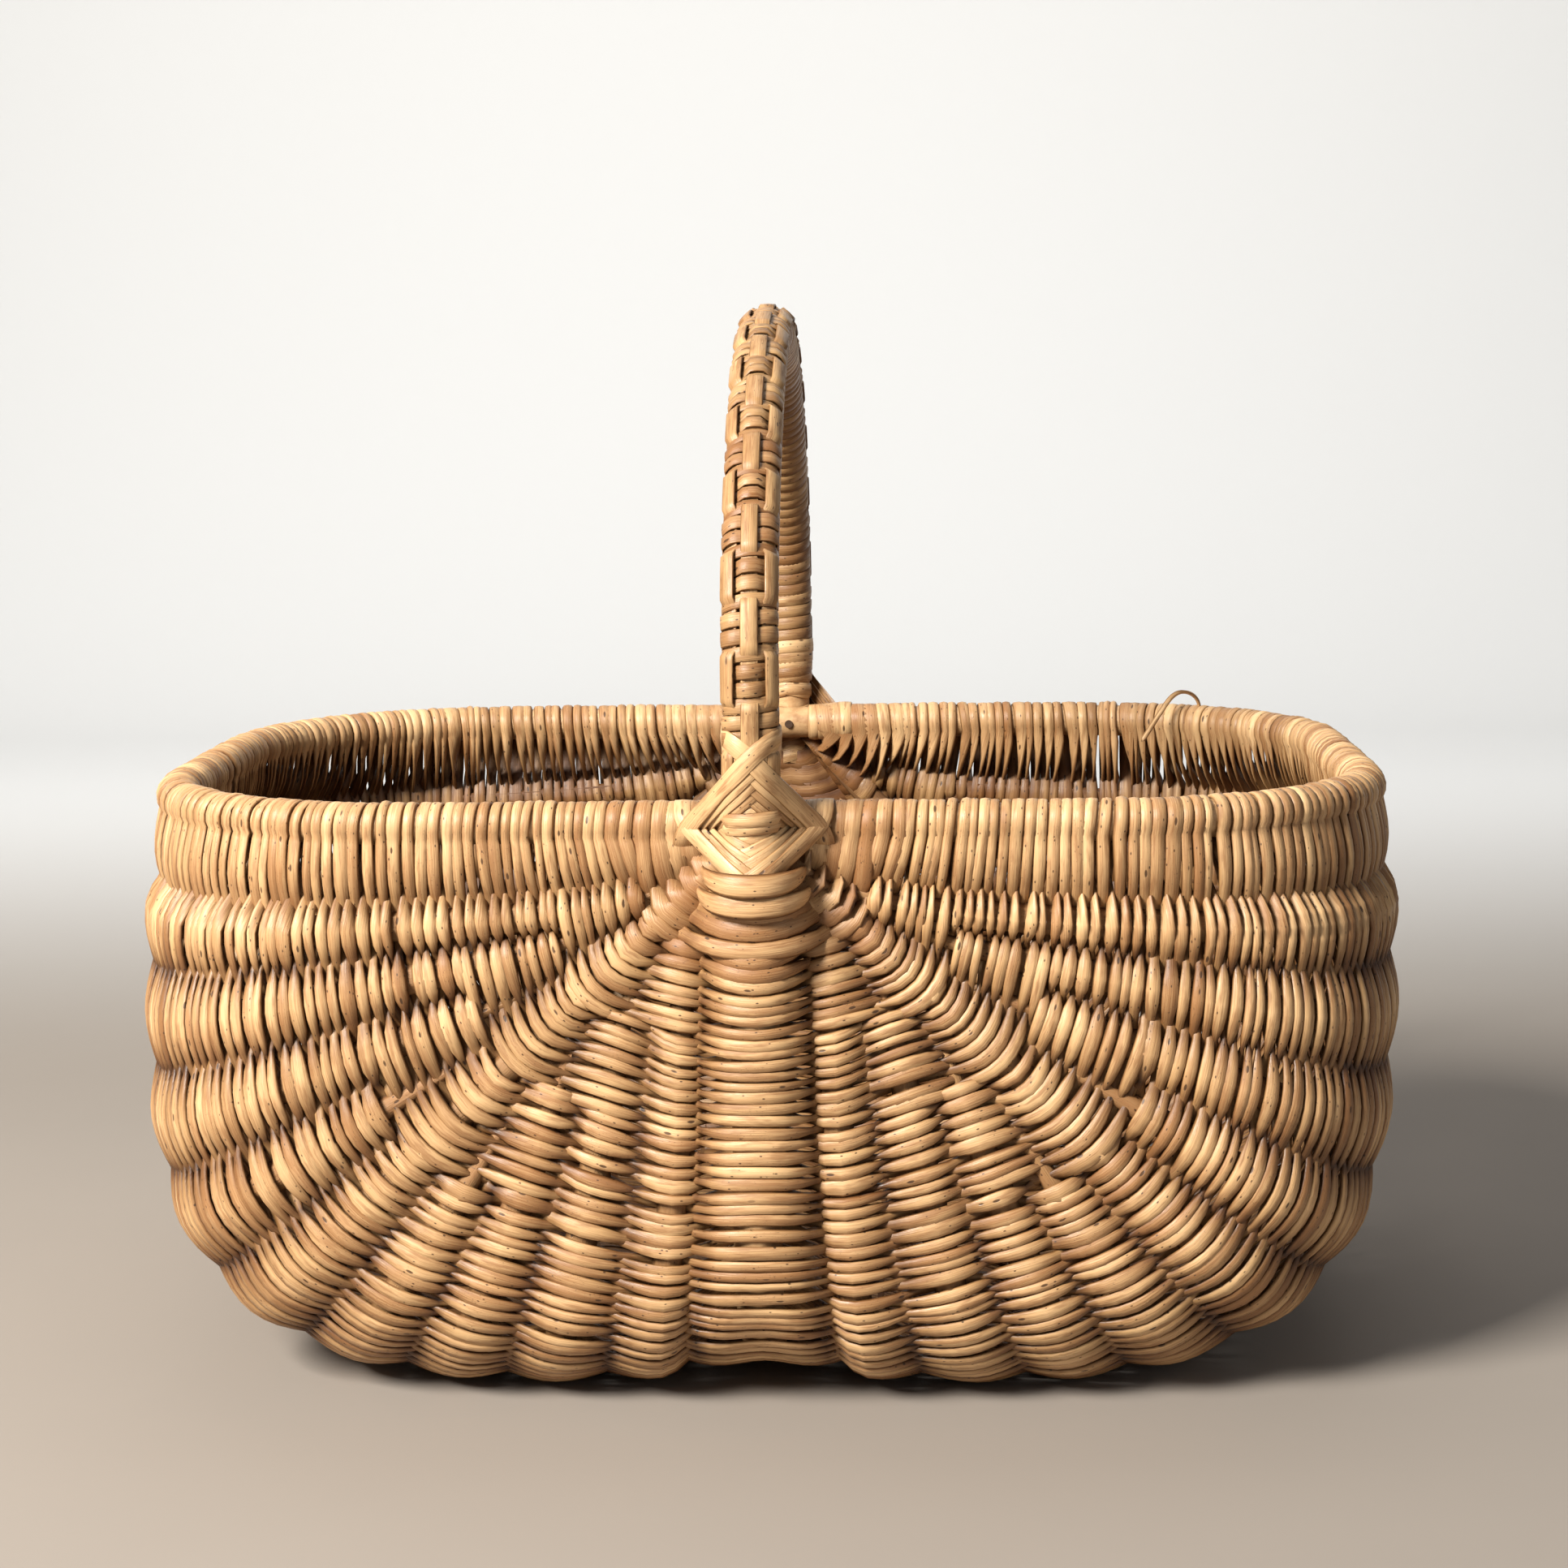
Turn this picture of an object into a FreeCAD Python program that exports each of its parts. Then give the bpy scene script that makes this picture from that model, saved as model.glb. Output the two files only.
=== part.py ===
import FreeCAD, Part
import math
import os
import Sketcher
from FreeCAD import Placement, Rotation, Vector

# Woven market basket, a rib basket of split willow.
#
# A rim hoop lies level and a taller handle hoop stands upright across it, outside it, and
# carries on under the basket as its middle rib. They are nailed and lashed where they cross,
# at the two eyes. Nine split ribs on each side fan out from one eye to the other, and the
# willow weave runs over and under them, front half and back half.
#
# Millimetres, +Z up, +X along the basket's length, front towards -Y. The origin is on the
# floor, under the middle of the basket.

doc = FreeCAD.newDocument("market_basket")

# ---------------------------------------------------------------- driving dimensions

SIZES = [
    ("rim_height", 219, "floor to the centre line of the rim hoop"),
    ("rim_half_length", 232, "basket centre to the rim rod, along X"),
    ("rim_half_width", 155, "basket centre to the rim rod, along Y"),
    ("rim_corner", 105, "corner radius of the rim hoop"),
    ("rim_rod", 7, "radius of the rim rod"),
    ("hoop_rod", 8.8, "radius of the handle hoop's rod"),
    ("crossing_gap", 0.2, "clearance between the two hoops where they cross"),
    ("handle_rise", 176, "rim centre line up to the top of the handle hoop's centre line"),
    ("handle_leg", 50, "straight part of the handle above the rim"),
    ("handle_shoulder", 85, "radius of the handle's shoulders"),
    ("column_clearance", 8, "floor to the underside of the weave under the handle hoop"),
    ("hoop_low_corner", 55, "radius where the handle hoop turns under the basket"),
    ("rib_width", 12, "width of a split rib"),
    ("rib_thick", 6.6, "thickness of a split rib"),
    ("rib_tip_width", 5, "width of a whittled rib tip"),
    ("rib_tip_thick", 3, "thickness of a whittled rib tip"),
    ("rib_taper", 55, "length of the whittled end of a rib"),
    ("tip_clearance", 0.5, "gap between the tips of the outermost ribs and the hoop beside them"),
    ("body_bulge", 6.5, "how far the side ribs reach past the rim"),
    ("bottom_dip", 3.7, "drop that brings the rounded bottom's lowest lobes to the floor"),
    ("bottom_lift", 8, "how far the bottom rises in the middle"),
    ("squareness", 4.6, "exponent of the body's cross-section, 2 is an ellipse"),
    ("low_corner", 45, "corner radius of a rib that lies on the floor"),
    ("belly", 5, "how far the front and back swell between the rim and the floor"),
    ("column_proud", 13, "how far the ribs beside the handle hoop are pushed out by it"),
    ("weave_on_rib", 2.9, "weave outside a rib's face"),
    ("weave_on_hoop", 2.2, "weave outside the handle hoop"),
    ("weave_start", 16, "centre of the eye to the first row of weave"),
    ("binding_start", 24, "centre of the eye to the first wrap round the rim"),
    ("rim_wrap", 2.1, "thickness of the weave wrapped round the rim rod"),
    ("eye_outer", 11, "half diagonal of an eye lashing's outer face"),
    ("eye_middle", 23.5, "half diagonal of an eye lashing where it is widest"),
    ("eye_inner", 19, "half diagonal of an eye lashing's inner face"),
    ("eye_cover", 3, "lashing outside the handle hoop"),
    ("strip_thick", 1.4, "thickness of the strips along the handle"),
    ("strip_half_angle", 20, "half of the angle a strip covers on the rod, degrees"),
    ("strip_spacing", 44, "angle from one strip to the next, degrees"),
    ("strip_foot", 25, "rim centre line up to the strips' lower ends"),
    ("handle_wrap_thick", 1.3, "thickness of the skein wrapped round the handle"),
    ("nail_shank", 0.9, "radius of a rim nail's shank"),
    ("nail_head", 1.8, "radius of a rim nail's head"),
    ("nail_head_thick", 0.8, "thickness of a rim nail's head"),
    ("nail_in_hoop", 7, "how deep a rim nail goes into the handle hoop"),
    ("nail_point", 2.5, "length of a rim nail's point"),
    ("loose_end_width", 4, "width of the loose weaver end"),
    ("loose_end_thick", 1.8, "thickness of the loose weaver end"),
    ("loose_end_rise", 9, "how far the loose end stands out of the rim before it bends"),
    ("loose_end_bend", 5, "radius of the loose end's bend"),
    ("loose_end_turn", 118, "angle that the loose end bends through, degrees"),
    ("loose_end_run", 17, "straight part of the loose end after its bend"),
    ("loose_end_corner_angle", 55, "place of the loose end round the back right rim corner, degrees"),
    ("loose_end_heading", 200, "compass angle that the loose end bends towards, degrees from +X"),
    ("rib_angle_1", 9.3, "angle of rib 1 below the rim, degrees"),
    ("rib_angle_2", 18.2, "angle of rib 2"),
    ("rib_angle_3", 26.8, "angle of rib 3"),
    ("rib_angle_4", 35.3, "angle of rib 4"),
    ("rib_angle_5", 44.2, "angle of rib 5"),
    ("rib_angle_6", 53.2, "angle of rib 6"),
    ("rib_angle_7", 62.0, "angle of rib 7"),
    ("rib_angle_8", 70.4, "angle of rib 8"),
    ("rib_angle_9", 79.2, "angle of rib 9"),
    ("rib_start_2", 84, "centre of the eye to the tip of rib 2"),
    ("rib_start_3", 103, "centre of the eye to the tip of rib 3"),
    ("rib_start_4", 130, "centre of the eye to the tip of rib 4"),
    ("rib_start_5", 28, "centre of the eye to the tip of rib 5"),
    ("rib_start_8", 84, "centre of the eye to the tip of rib 8"),
    ("rib_run_6", 76.2, "tip of rib 6 to where its corner begins"),
    ("rib_run_7", 84.3, "tip of rib 7 to where its corner begins"),
]
RIBS_PER_SIDE = 9
LOW_STARTERS = (6, 7)  # ribs whose tips are placed by the run above their corner
LIFT_POWER = 16    # how closely the lift of the bottom keeps to the middle
PROUD_POWER = 10   # how closely the pushed-out ribs keep to the handle hoop

sheet = doc.addObject("Spreadsheet::Sheet", "sizes")
for row, (name, number, meaning) in enumerate(SIZES, 1):
    sheet.set("A%d" % row, meaning)
    sheet.set("B%d" % row, str(number))
    sheet.setAlias("B%d" % row, name)
doc.recompute()


def size(name):
    """The number in the sheet's cell of that name."""
    return float(sheet.get(name))


# ---------------------------------------------------------------- worked-out sizes
# Each has two forms: the formula that binds a sketch to the sheet, and the number
# that the sketch is first drawn with.

HALF_WALL = "(sizes.rib_thick / 2 + sizes.weave_on_rib)"
HOOP_WALL = "(sizes.hoop_rod + sizes.weave_on_hoop)"
HOOP_SIDE = "(sizes.rim_half_width + sizes.rim_rod + sizes.crossing_gap + sizes.hoop_rod)"
HOOP_DROP = "(sizes.rim_height - sizes.column_clearance - " + HOOP_WALL + ")"
RIM_SLEEVE = "(sizes.rim_rod + sizes.rim_wrap)"
STRIP_TOP = "(sizes.hoop_rod + sizes.strip_thick)"
WRAP_TOP = "(" + STRIP_TOP + " + sizes.handle_wrap_thick)"

half_wall = size("rib_thick") / 2 + size("weave_on_rib")
hoop_wall = size("hoop_rod") + size("weave_on_hoop")
hoop_side = size("rim_half_width") + size("rim_rod") + size("crossing_gap") + size("hoop_rod")
hoop_drop = size("rim_height") - size("column_clearance") - hoop_wall
rim_sleeve = size("rim_rod") + size("rim_wrap")
strip_top = size("hoop_rod") + size("strip_thick")
wrap_top = strip_top + size("handle_wrap_thick")


def rib_angle(k):
    return math.radians(size("rib_angle_%d" % k))


def rib_reach(k):
    """Eye centre to the rib's middle, measured in the rib's plane: number and formula."""
    across = math.cos(rib_angle(k)) / (size("rim_half_length") + size("body_bulge"))
    depth = size("rim_height") - half_wall + size("bottom_dip")
    down = math.sin(rib_angle(k)) / depth
    power = size("squareness")
    number = (across ** power + down ** power) ** (-1 / power)
    number -= size("bottom_lift") * math.sin(rib_angle(k)) ** LIFT_POWER
    formula = (
        "((cos(sizes.rib_angle_{k} * 1 deg) / (sizes.rim_half_length + sizes.body_bulge))"
        " ^ sizes.squareness"
        " + (sin(sizes.rib_angle_{k} * 1 deg) / (sizes.rim_height - {wall} + sizes.bottom_dip))"
        " ^ sizes.squareness) ^ (-1 / sizes.squareness)"
        " - sizes.bottom_lift * sin(sizes.rib_angle_{k} * 1 deg) ^ {power}"
    ).format(k=k, wall=HALF_WALL, power=LIFT_POWER)
    return number, formula


def rib_start(k):
    """Eye centre to the rib's tip: number and formula. The first and last ribs start where
    there is room for their tips beside the rim binding and the handle hoop, and the ribs that
    start far down keep their straight run above the corner."""
    if k == 1:
        number = size("rib_tip_width") / 2 + size("tip_clearance") + rim_sleeve
        formula = "(sizes.rib_tip_width / 2 + sizes.tip_clearance + {room})" \
                  " / sin(sizes.rib_angle_1 * 1 deg)".format(room=RIM_SLEEVE)
        return number / math.sin(rib_angle(k)), formula
    if k == RIBS_PER_SIDE:
        number = size("rib_tip_width") / 2 + size("tip_clearance") + size("hoop_rod")
        formula = "(sizes.rib_tip_width / 2 + sizes.tip_clearance + sizes.hoop_rod)" \
                  " / cos(sizes.rib_angle_%d * 1 deg)" % k
        return number / math.cos(rib_angle(k)), formula
    if k in LOW_STARTERS:
        reach = rib_reach(k)
        corner = rib_corner(k)
        number = reach[0] - corner[0] - size("rib_run_%d" % k)
        formula = "{reach} - ({corner}) - sizes.rib_run_{k}".format(
            reach=reach[1], corner=corner[1], k=k)
        return number, formula
    return size("rib_start_%d" % k), "sizes.rib_start_%d" % k


def rib_side(k):
    """Basket centre to the rib's long front and back runs, along Y: number and formula."""
    angle = rib_angle(k)
    number = size("rim_half_width") + size("belly") * math.sin(2 * angle)
    number += size("column_proud") * math.sin(angle) ** PROUD_POWER
    formula = (
        "sizes.rim_half_width + sizes.belly * sin(2 * sizes.rib_angle_{k} * 1 deg)"
        " + sizes.column_proud * sin(sizes.rib_angle_{k} * 1 deg) ^ {power}"
    ).format(k=k, power=PROUD_POWER)
    return number, formula


def rib_corner(k):
    """Corner radius of a rib: number and formula. It tightens from the rim to the floor."""
    share = math.sin(rib_angle(k))
    number = size("rim_corner") + (size("low_corner") - size("rim_corner")) * share
    formula = (
        "sizes.rim_corner + (sizes.low_corner - sizes.rim_corner)"
        " * sin(sizes.rib_angle_{k} * 1 deg)"
    ).format(k=k)
    return number, formula


# ---------------------------------------------------------------- sketch helpers

X_AXIS = -1
Y_AXIS = -2
START = 1
END = 2
CENTRE = 3


def constrain(sketch, constraint, name=None, formula=None):
    """Add a constraint; with a name, bind its value to a formula on the sheet."""
    index = sketch.addConstraint(constraint)
    if name:
        sketch.renameConstraint(index, name)
        sketch.setExpression("Constraints." + name, formula)
    return index


def line(sketch, first, second):
    return sketch.addGeometry(Part.LineSegment(Vector(*first, 0), Vector(*second, 0)), False)


def arc(sketch, centre, radius, first, last):
    """Counter-clockwise arc between two angles in degrees."""
    circle = Part.Circle(Vector(*centre, 0), Vector(0, 0, 1), radius)
    shape = Part.ArcOfCircle(circle, math.radians(first), math.radians(last))
    return sketch.addGeometry(shape, False)


def base_plane(body, role):
    for feature in body.Origin.OriginFeatures:
        if feature.Role == role:
            return feature
    raise RuntimeError("no origin plane " + role)


def body_sketch(body, name, role, offset=None, formula=None):
    """A sketch on one of the body's origin planes, moved along its normal by offset."""
    sketch = body.newObject("Sketcher::SketchObject", name)
    sketch.AttachmentSupport = [(base_plane(body, role), "")]
    sketch.MapMode = "FlatFace"
    if offset is not None:
        sketch.AttachmentOffset = Placement(Vector(0, 0, offset), Rotation())
        sketch.setExpression("AttachmentOffset.Base.z", formula)
    return sketch


def mirrored(body, originals, role):
    mirror = body.newObject("PartDesign::Mirrored", body.Name + "_other_half")
    mirror.Originals = originals
    mirror.MirrorPlane = (base_plane(body, role), [""])
    body.Tip = mirror
    return mirror


def pipe(body, profile, path):
    feature = body.newObject("PartDesign::AdditivePipe", body.Name + "_rod")
    feature.Profile = profile
    feature.Spine = path
    return feature


def new_body(name, heading=None):
    """A body whose origin is at the height of the rim; heading turns it about Y, degrees."""
    body = doc.addObject("PartDesign::Body", name)
    body.Label = name
    if heading is not None:
        body.Placement = Placement(Vector(), Rotation(Vector(0, 1, 0), heading[0]))
        body.setExpression("Placement.Rotation.Angle", heading[1])
    body.setExpression("Placement.Base.z", "sizes.rim_height")
    return body


def circle_profile(sketch, axis, distance, radius):
    """A circle whose centre is on the sketch's X axis, on its -X side, or on its Y axis, on
    its +Y side. Distance and radius are (number, formula)."""
    centre = Vector(-distance[0], 0, 0) if axis == X_AXIS else Vector(0, distance[0], 0)
    ring = sketch.addGeometry(Part.Circle(centre, Vector(0, 0, 1), radius[0]), False)
    constrain(sketch, Sketcher.Constraint("PointOnObject", ring, CENTRE, axis))
    constrain(sketch, Sketcher.Constraint("Radius", ring, radius[0]), "radius", radius[1])
    if axis == X_AXIS:
        measure = Sketcher.Constraint("DistanceX", ring, CENTRE, X_AXIS, START, distance[0])
    else:
        measure = Sketcher.Constraint("DistanceY", X_AXIS, START, ring, CENTRE, distance[0])
    constrain(sketch, measure, "distance", distance[1])


def run_and_corner(sketch, start, reach, side, corner):
    """Half of a rib-like path in its own plane: a long run along X, a corner, and the
    crosswise end up to the X axis. Each argument is (number, formula)."""
    turn = (reach[0] - corner[0], corner[0] - side[0])
    run = line(sketch, (start[0], -side[0]), (turn[0], -side[0]))
    bend = arc(sketch, turn, corner[0], 270, 360)
    cross = line(sketch, (reach[0], turn[1]), (reach[0], 0))
    constrain(sketch, Sketcher.Constraint("Tangent", run, END, bend, START))
    constrain(sketch, Sketcher.Constraint("Tangent", bend, END, cross, START))
    constrain(sketch, Sketcher.Constraint("Vertical", cross))
    constrain(sketch, Sketcher.Constraint("Horizontal", run))
    constrain(sketch, Sketcher.Constraint("PointOnObject", cross, END, X_AXIS))
    return run, bend, cross


def half_path(sketch, start, reach, side, corner):
    run, bend, cross = run_and_corner(sketch, start, reach, side, corner)
    origin = (X_AXIS, START)
    constrain(sketch, Sketcher.Constraint("DistanceX", *origin, run, START, start[0]),
              "start", start[1])
    constrain(sketch, Sketcher.Constraint("DistanceX", *origin, cross, END, reach[0]),
              "reach", reach[1])
    constrain(sketch, Sketcher.Constraint("DistanceY", run, START, *origin, side[0]),
              "side", side[1])
    constrain(sketch, Sketcher.Constraint("Radius", bend, corner[0]), "corner", corner[1])


def plus(pair, change, change_formula, sign=1):
    """(number, formula) made larger or smaller by another size."""
    mark = "+" if sign > 0 else "-"
    return pair[0] + sign * change, "(%s) %s %s" % (pair[1], mark, change_formula)


def wall_section(name, heading, start, reach, side, corner, wall):
    """The outline of the front weave where it crosses one rib's plane."""
    sketch = doc.addObject("Sketcher::SketchObject", name)
    sketch.Placement = Placement(Vector(), Rotation(Vector(0, 1, 0), heading[0]))
    sketch.setExpression("Placement.Rotation.Angle", heading[1])
    sketch.setExpression("Placement.Base.z", "sizes.rim_height")
    outer = run_and_corner(sketch, start, plus(reach, *wall), plus(side, *wall),
                           plus(corner, *wall))
    inner = run_and_corner(sketch, start, plus(reach, *wall, -1), plus(side, *wall, -1),
                           plus(corner, *wall, -1))
    origin = (X_AXIS, START)
    out_run, out_bend, out_cross = outer
    in_run, in_bend, in_cross = inner
    out_reach = plus(reach, *wall)
    out_side = plus(side, *wall)
    out_corner = plus(corner, *wall)
    in_corner = plus(corner, *wall, -1)
    middle_cap = line(sketch, (out_reach[0], 0), (reach[0] - wall[0], 0))
    eye_cap = line(sketch, (start[0], -side[0] + wall[0]), (start[0], -out_side[0]))
    constrain(sketch, Sketcher.Constraint("Coincident", out_cross, END, middle_cap, START))
    constrain(sketch, Sketcher.Constraint("Coincident", in_cross, END, middle_cap, END))
    constrain(sketch, Sketcher.Constraint("Coincident", in_run, START, eye_cap, START))
    constrain(sketch, Sketcher.Constraint("Coincident", out_run, START, eye_cap, END))
    constrain(sketch, Sketcher.Constraint("Vertical", eye_cap))
    constrain(sketch, Sketcher.Constraint("Coincident", out_bend, CENTRE, in_bend, CENTRE))
    constrain(sketch, Sketcher.Constraint("DistanceX", *origin, out_run, START, start[0]),
              "start", start[1])
    constrain(sketch, Sketcher.Constraint("DistanceX", *origin, out_cross, END, out_reach[0]),
              "reach", out_reach[1])
    constrain(sketch, Sketcher.Constraint("DistanceY", out_run, START, *origin, out_side[0]),
              "side", out_side[1])
    constrain(sketch, Sketcher.Constraint("Radius", out_bend, out_corner[0]),
              "outer_corner", out_corner[1])
    constrain(sketch, Sketcher.Constraint("Radius", in_bend, in_corner[0]),
              "inner_corner", in_corner[1])
    return sketch


# ---------------------------------------------------------------- rim hoop

def rim_path(body):
    path = body_sketch(body, body.Name + "_path", "XY_Plane")
    reach = (size("rim_half_length"), "sizes.rim_half_length")
    side = (size("rim_half_width"), "sizes.rim_half_width")
    corner = (size("rim_corner"), "sizes.rim_corner")
    run, bend, cross = run_and_corner(path, (0, "0"), reach, side, corner)
    origin = (X_AXIS, START)
    constrain(path, Sketcher.Constraint("PointOnObject", run, START, Y_AXIS))
    constrain(path, Sketcher.Constraint("DistanceX", *origin, cross, END, reach[0]),
              "reach", reach[1])
    constrain(path, Sketcher.Constraint("DistanceY", run, START, *origin, side[0]),
              "side", side[1])
    constrain(path, Sketcher.Constraint("Radius", bend, corner[0]), "corner", corner[1])
    return path


def rim_rod(name, radius):
    """A rod of that radius all the way round the rim, made as one quarter and mirrored."""
    body = new_body(name)
    path = rim_path(body)
    profile = body_sketch(body, name + "_profile", "YZ_Plane")
    circle_profile(profile, X_AXIS, (size("rim_half_width"), "sizes.rim_half_width"), radius)
    quarter = pipe(body, profile, path)
    half = mirrored(body, [quarter], "XZ_Plane")
    half.Label = name + "_right_half"
    doc.recompute()
    whole = body.newObject("PartDesign::Mirrored", name + "_left_half")
    whole.TransformMode = "Whole shape"
    whole.MirrorPlane = (base_plane(body, "YZ_Plane"), [""])
    body.Tip = whole
    return body


def nail_holes(body, length, length_formula):
    """Straight holes for the rim nails, from the basket's centre plane to both sides."""
    doc.recompute()
    before = body.Shape.Volume
    sketch = body_sketch(body, body.Name + "_nail_hole", "XZ_Plane")
    ring = sketch.addGeometry(Part.Circle(Vector(), Vector(0, 0, 1), size("nail_shank")), False)
    constrain(sketch, Sketcher.Constraint("Coincident", ring, CENTRE, X_AXIS, START))
    constrain(sketch, Sketcher.Constraint("Radius", ring, size("nail_shank")),
              "radius", "sizes.nail_shank")
    pocket = body.newObject("PartDesign::Pocket", body.Name + "_nail_holes")
    pocket.Profile = sketch
    pocket.SideType = "Symmetric"
    pocket.Length = length
    pocket.setExpression("Length", length_formula)
    body.Tip = pocket
    doc.recompute()
    if not body.Shape.Volume < before:
        raise RuntimeError(body.Name + ": the nail holes cut nothing")


rim_hoop = rim_rod("rim_hoop", (size("rim_rod"), "sizes.rim_rod"))
nail_holes(rim_hoop, 2 * (size("rim_half_width") + 2 * size("rim_rod")),
           "2 * (sizes.rim_half_width + 2 * sizes.rim_rod)")

# ---------------------------------------------------------------- handle hoop


def arch(sketch, foot, foot_formula):
    """Front half of the handle's arch: crown, shoulder and a straight leg down to foot."""
    rise = size("handle_rise")
    leg = size("handle_leg")
    shoulder = size("handle_shoulder")
    inset = hoop_side - shoulder
    above = rise - leg
    crown = (inset ** 2 + above ** 2 - shoulder ** 2) / (2 * (above - shoulder))
    middle = rise - crown
    joint = math.degrees(math.atan2(leg - middle, -inset))
    top = arc(sketch, (0, middle), crown, 90, joint)
    side = arc(sketch, (-inset, leg), shoulder, joint, 180)
    down = line(sketch, (-hoop_side, leg), (-hoop_side, foot))
    constrain(sketch, Sketcher.Constraint("Tangent", top, END, side, START))
    constrain(sketch, Sketcher.Constraint("Tangent", side, END, down, START))
    constrain(sketch, Sketcher.Constraint("Vertical", down))
    constrain(sketch, Sketcher.Constraint("PointOnObject", top, START, Y_AXIS))
    constrain(sketch, Sketcher.Constraint("PointOnObject", top, CENTRE, Y_AXIS))
    constrain(sketch, Sketcher.Constraint("DistanceY", X_AXIS, START, top, START, rise),
              "rise", "sizes.handle_rise")
    constrain(sketch, Sketcher.Constraint("DistanceX", down, START, X_AXIS, START, hoop_side),
              "side", HOOP_SIDE)
    constrain(sketch, Sketcher.Constraint("DistanceY", X_AXIS, START, side, CENTRE, leg),
              "leg", "sizes.handle_leg")
    constrain(sketch, Sketcher.Constraint("Radius", side, shoulder),
              "shoulder", "sizes.handle_shoulder")
    if foot > 0:
        ends = (X_AXIS, START, down, END)
    else:
        ends = (down, END, X_AXIS, START)
    constrain(sketch, Sketcher.Constraint("DistanceY", *ends, abs(foot)), "foot", foot_formula)
    return down


def handle_profile(body, radius):
    """A round section at the top of the handle."""
    profile = body_sketch(body, body.Name + "_profile", "XZ_Plane")
    circle_profile(profile, Y_AXIS, (size("handle_rise"), "sizes.handle_rise"), radius)
    return profile


def make_handle_hoop():
    body = new_body("handle_hoop")
    path = body_sketch(body, "handle_hoop_path", "YZ_Plane")
    low = size("hoop_low_corner")
    leg_end = hoop_drop - low
    down = arch(path, -leg_end, HOOP_DROP + " - sizes.hoop_low_corner")
    bend = arc(path, (low - hoop_side, -leg_end), low, 180, 270)
    under = line(path, (low - hoop_side, -hoop_drop), (0, -hoop_drop))
    constrain(path, Sketcher.Constraint("Tangent", down, END, bend, START))
    constrain(path, Sketcher.Constraint("Tangent", bend, END, under, START))
    constrain(path, Sketcher.Constraint("Horizontal", under))
    constrain(path, Sketcher.Constraint("PointOnObject", under, END, Y_AXIS))
    constrain(path, Sketcher.Constraint("Radius", bend, low), "low_corner",
              "sizes.hoop_low_corner")
    profile = handle_profile(body, (size("hoop_rod"), "sizes.hoop_rod"))
    mirrored(body, [pipe(body, profile, path)], "XZ_Plane")
    return body


handle_hoop = make_handle_hoop()
nail_holes(handle_hoop, 2 * (hoop_side - size("hoop_rod") + size("nail_in_hoop")),
           "2 * (" + HOOP_SIDE + " - sizes.hoop_rod + sizes.nail_in_hoop)")

# ---------------------------------------------------------------- ribs


def split_section(sketch, towards, distance, width, thick):
    """A split rod's section: flat towards the basket's inside, round outside. Its middle is
    on the sketch's X axis, that distance from the origin, on the +X side if towards is 1 and
    on the -X side if it is -1. Distance, width and thick are (number, formula)."""
    half = width[0] / 2
    radius = (half ** 2 + thick[0] ** 2) / (2 * thick[0])
    radius_formula = "(({w}) ^ 2 / 4 + ({t}) ^ 2) / (2 * ({t}))".format(w=width[1], t=thick[1])
    flat_at = towards * (distance[0] - thick[0] / 2)
    centre = flat_at + towards * (thick[0] - radius)
    spread = math.degrees(math.atan2(half, radius - thick[0]))
    facing = 0 if towards > 0 else 180
    back = arc(sketch, (centre, 0), radius, facing - spread, facing + spread)
    flat = line(sketch, (flat_at, towards * half), (flat_at, -towards * half))
    constrain(sketch, Sketcher.Constraint("Coincident", back, END, flat, START))
    constrain(sketch, Sketcher.Constraint("Coincident", flat, END, back, START))
    constrain(sketch, Sketcher.Constraint("Symmetric", flat, START, flat, END, X_AXIS))
    constrain(sketch, Sketcher.Constraint("Distance", flat, width[0]), "width", width[1])
    constrain(sketch, Sketcher.Constraint("Radius", back, radius), "round", radius_formula)
    origin = (X_AXIS, START)
    ends = (*origin, flat, START) if towards > 0 else (flat, START, *origin)
    constrain(sketch, Sketcher.Constraint("DistanceX", *ends, abs(flat_at)), "distance",
              "(%s) - (%s) / 2" % (distance[1], thick[1]))


def make_rib(name, k, heading):
    """A split rib from eye to eye, in its own plane, with whittled tips."""
    body = new_body(name, heading)
    reach = rib_reach(k)
    side = rib_side(k)
    corner = rib_corner(k)
    tip = rib_start(k)
    full = plus(tip, size("rib_taper"), "sizes.rib_taper")
    path = body_sketch(body, name + "_path", "XY_Plane")
    half_path(path, full, reach, side, corner)
    width = (size("rib_width"), "sizes.rib_width")
    thick = (size("rib_thick"), "sizes.rib_thick")
    middle = body_sketch(body, name + "_middle", "XZ_Plane")
    split_section(middle, 1, reach, width, thick)
    rod = body.newObject("PartDesign::AdditivePipe", name + "_rod")
    rod.Profile = middle
    rod.Spine = path
    shoulder = body_sketch(body, name + "_shoulder", "YZ_Plane", full[0], full[1])
    split_section(shoulder, -1, side, width, thick)
    point = body_sketch(body, name + "_point", "YZ_Plane", tip[0], tip[1])
    split_section(point, -1, side,
                  (size("rib_tip_width"), "sizes.rib_tip_width"),
                  (size("rib_tip_thick"), "sizes.rib_tip_thick"))
    taper = body.newObject("PartDesign::AdditiveLoft", name + "_taper")
    taper.Profile = shoulder
    taper.Sections = [point]
    taper.Ruled = True
    mirrored(body, [rod, taper], "XZ_Plane")
    return body


def right_heading(k):
    return size("rib_angle_%d" % k), "sizes.rib_angle_%d" % k


def left_heading(k):
    return 180 - size("rib_angle_%d" % k), "180 - sizes.rib_angle_%d" % k


ribs = []
for k in range(1, RIBS_PER_SIDE + 1):
    ribs.append(make_rib("left_rib_%d" % k, k, left_heading(k)))
    ribs.append(make_rib("right_rib_%d" % k, k, right_heading(k)))

# ---------------------------------------------------------------- weave round the rim
# The rim's envelope, rod and wraps together, is a construction body. Each half of the
# binding is what is left of it outside the rod and clear of the eyes.

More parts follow.
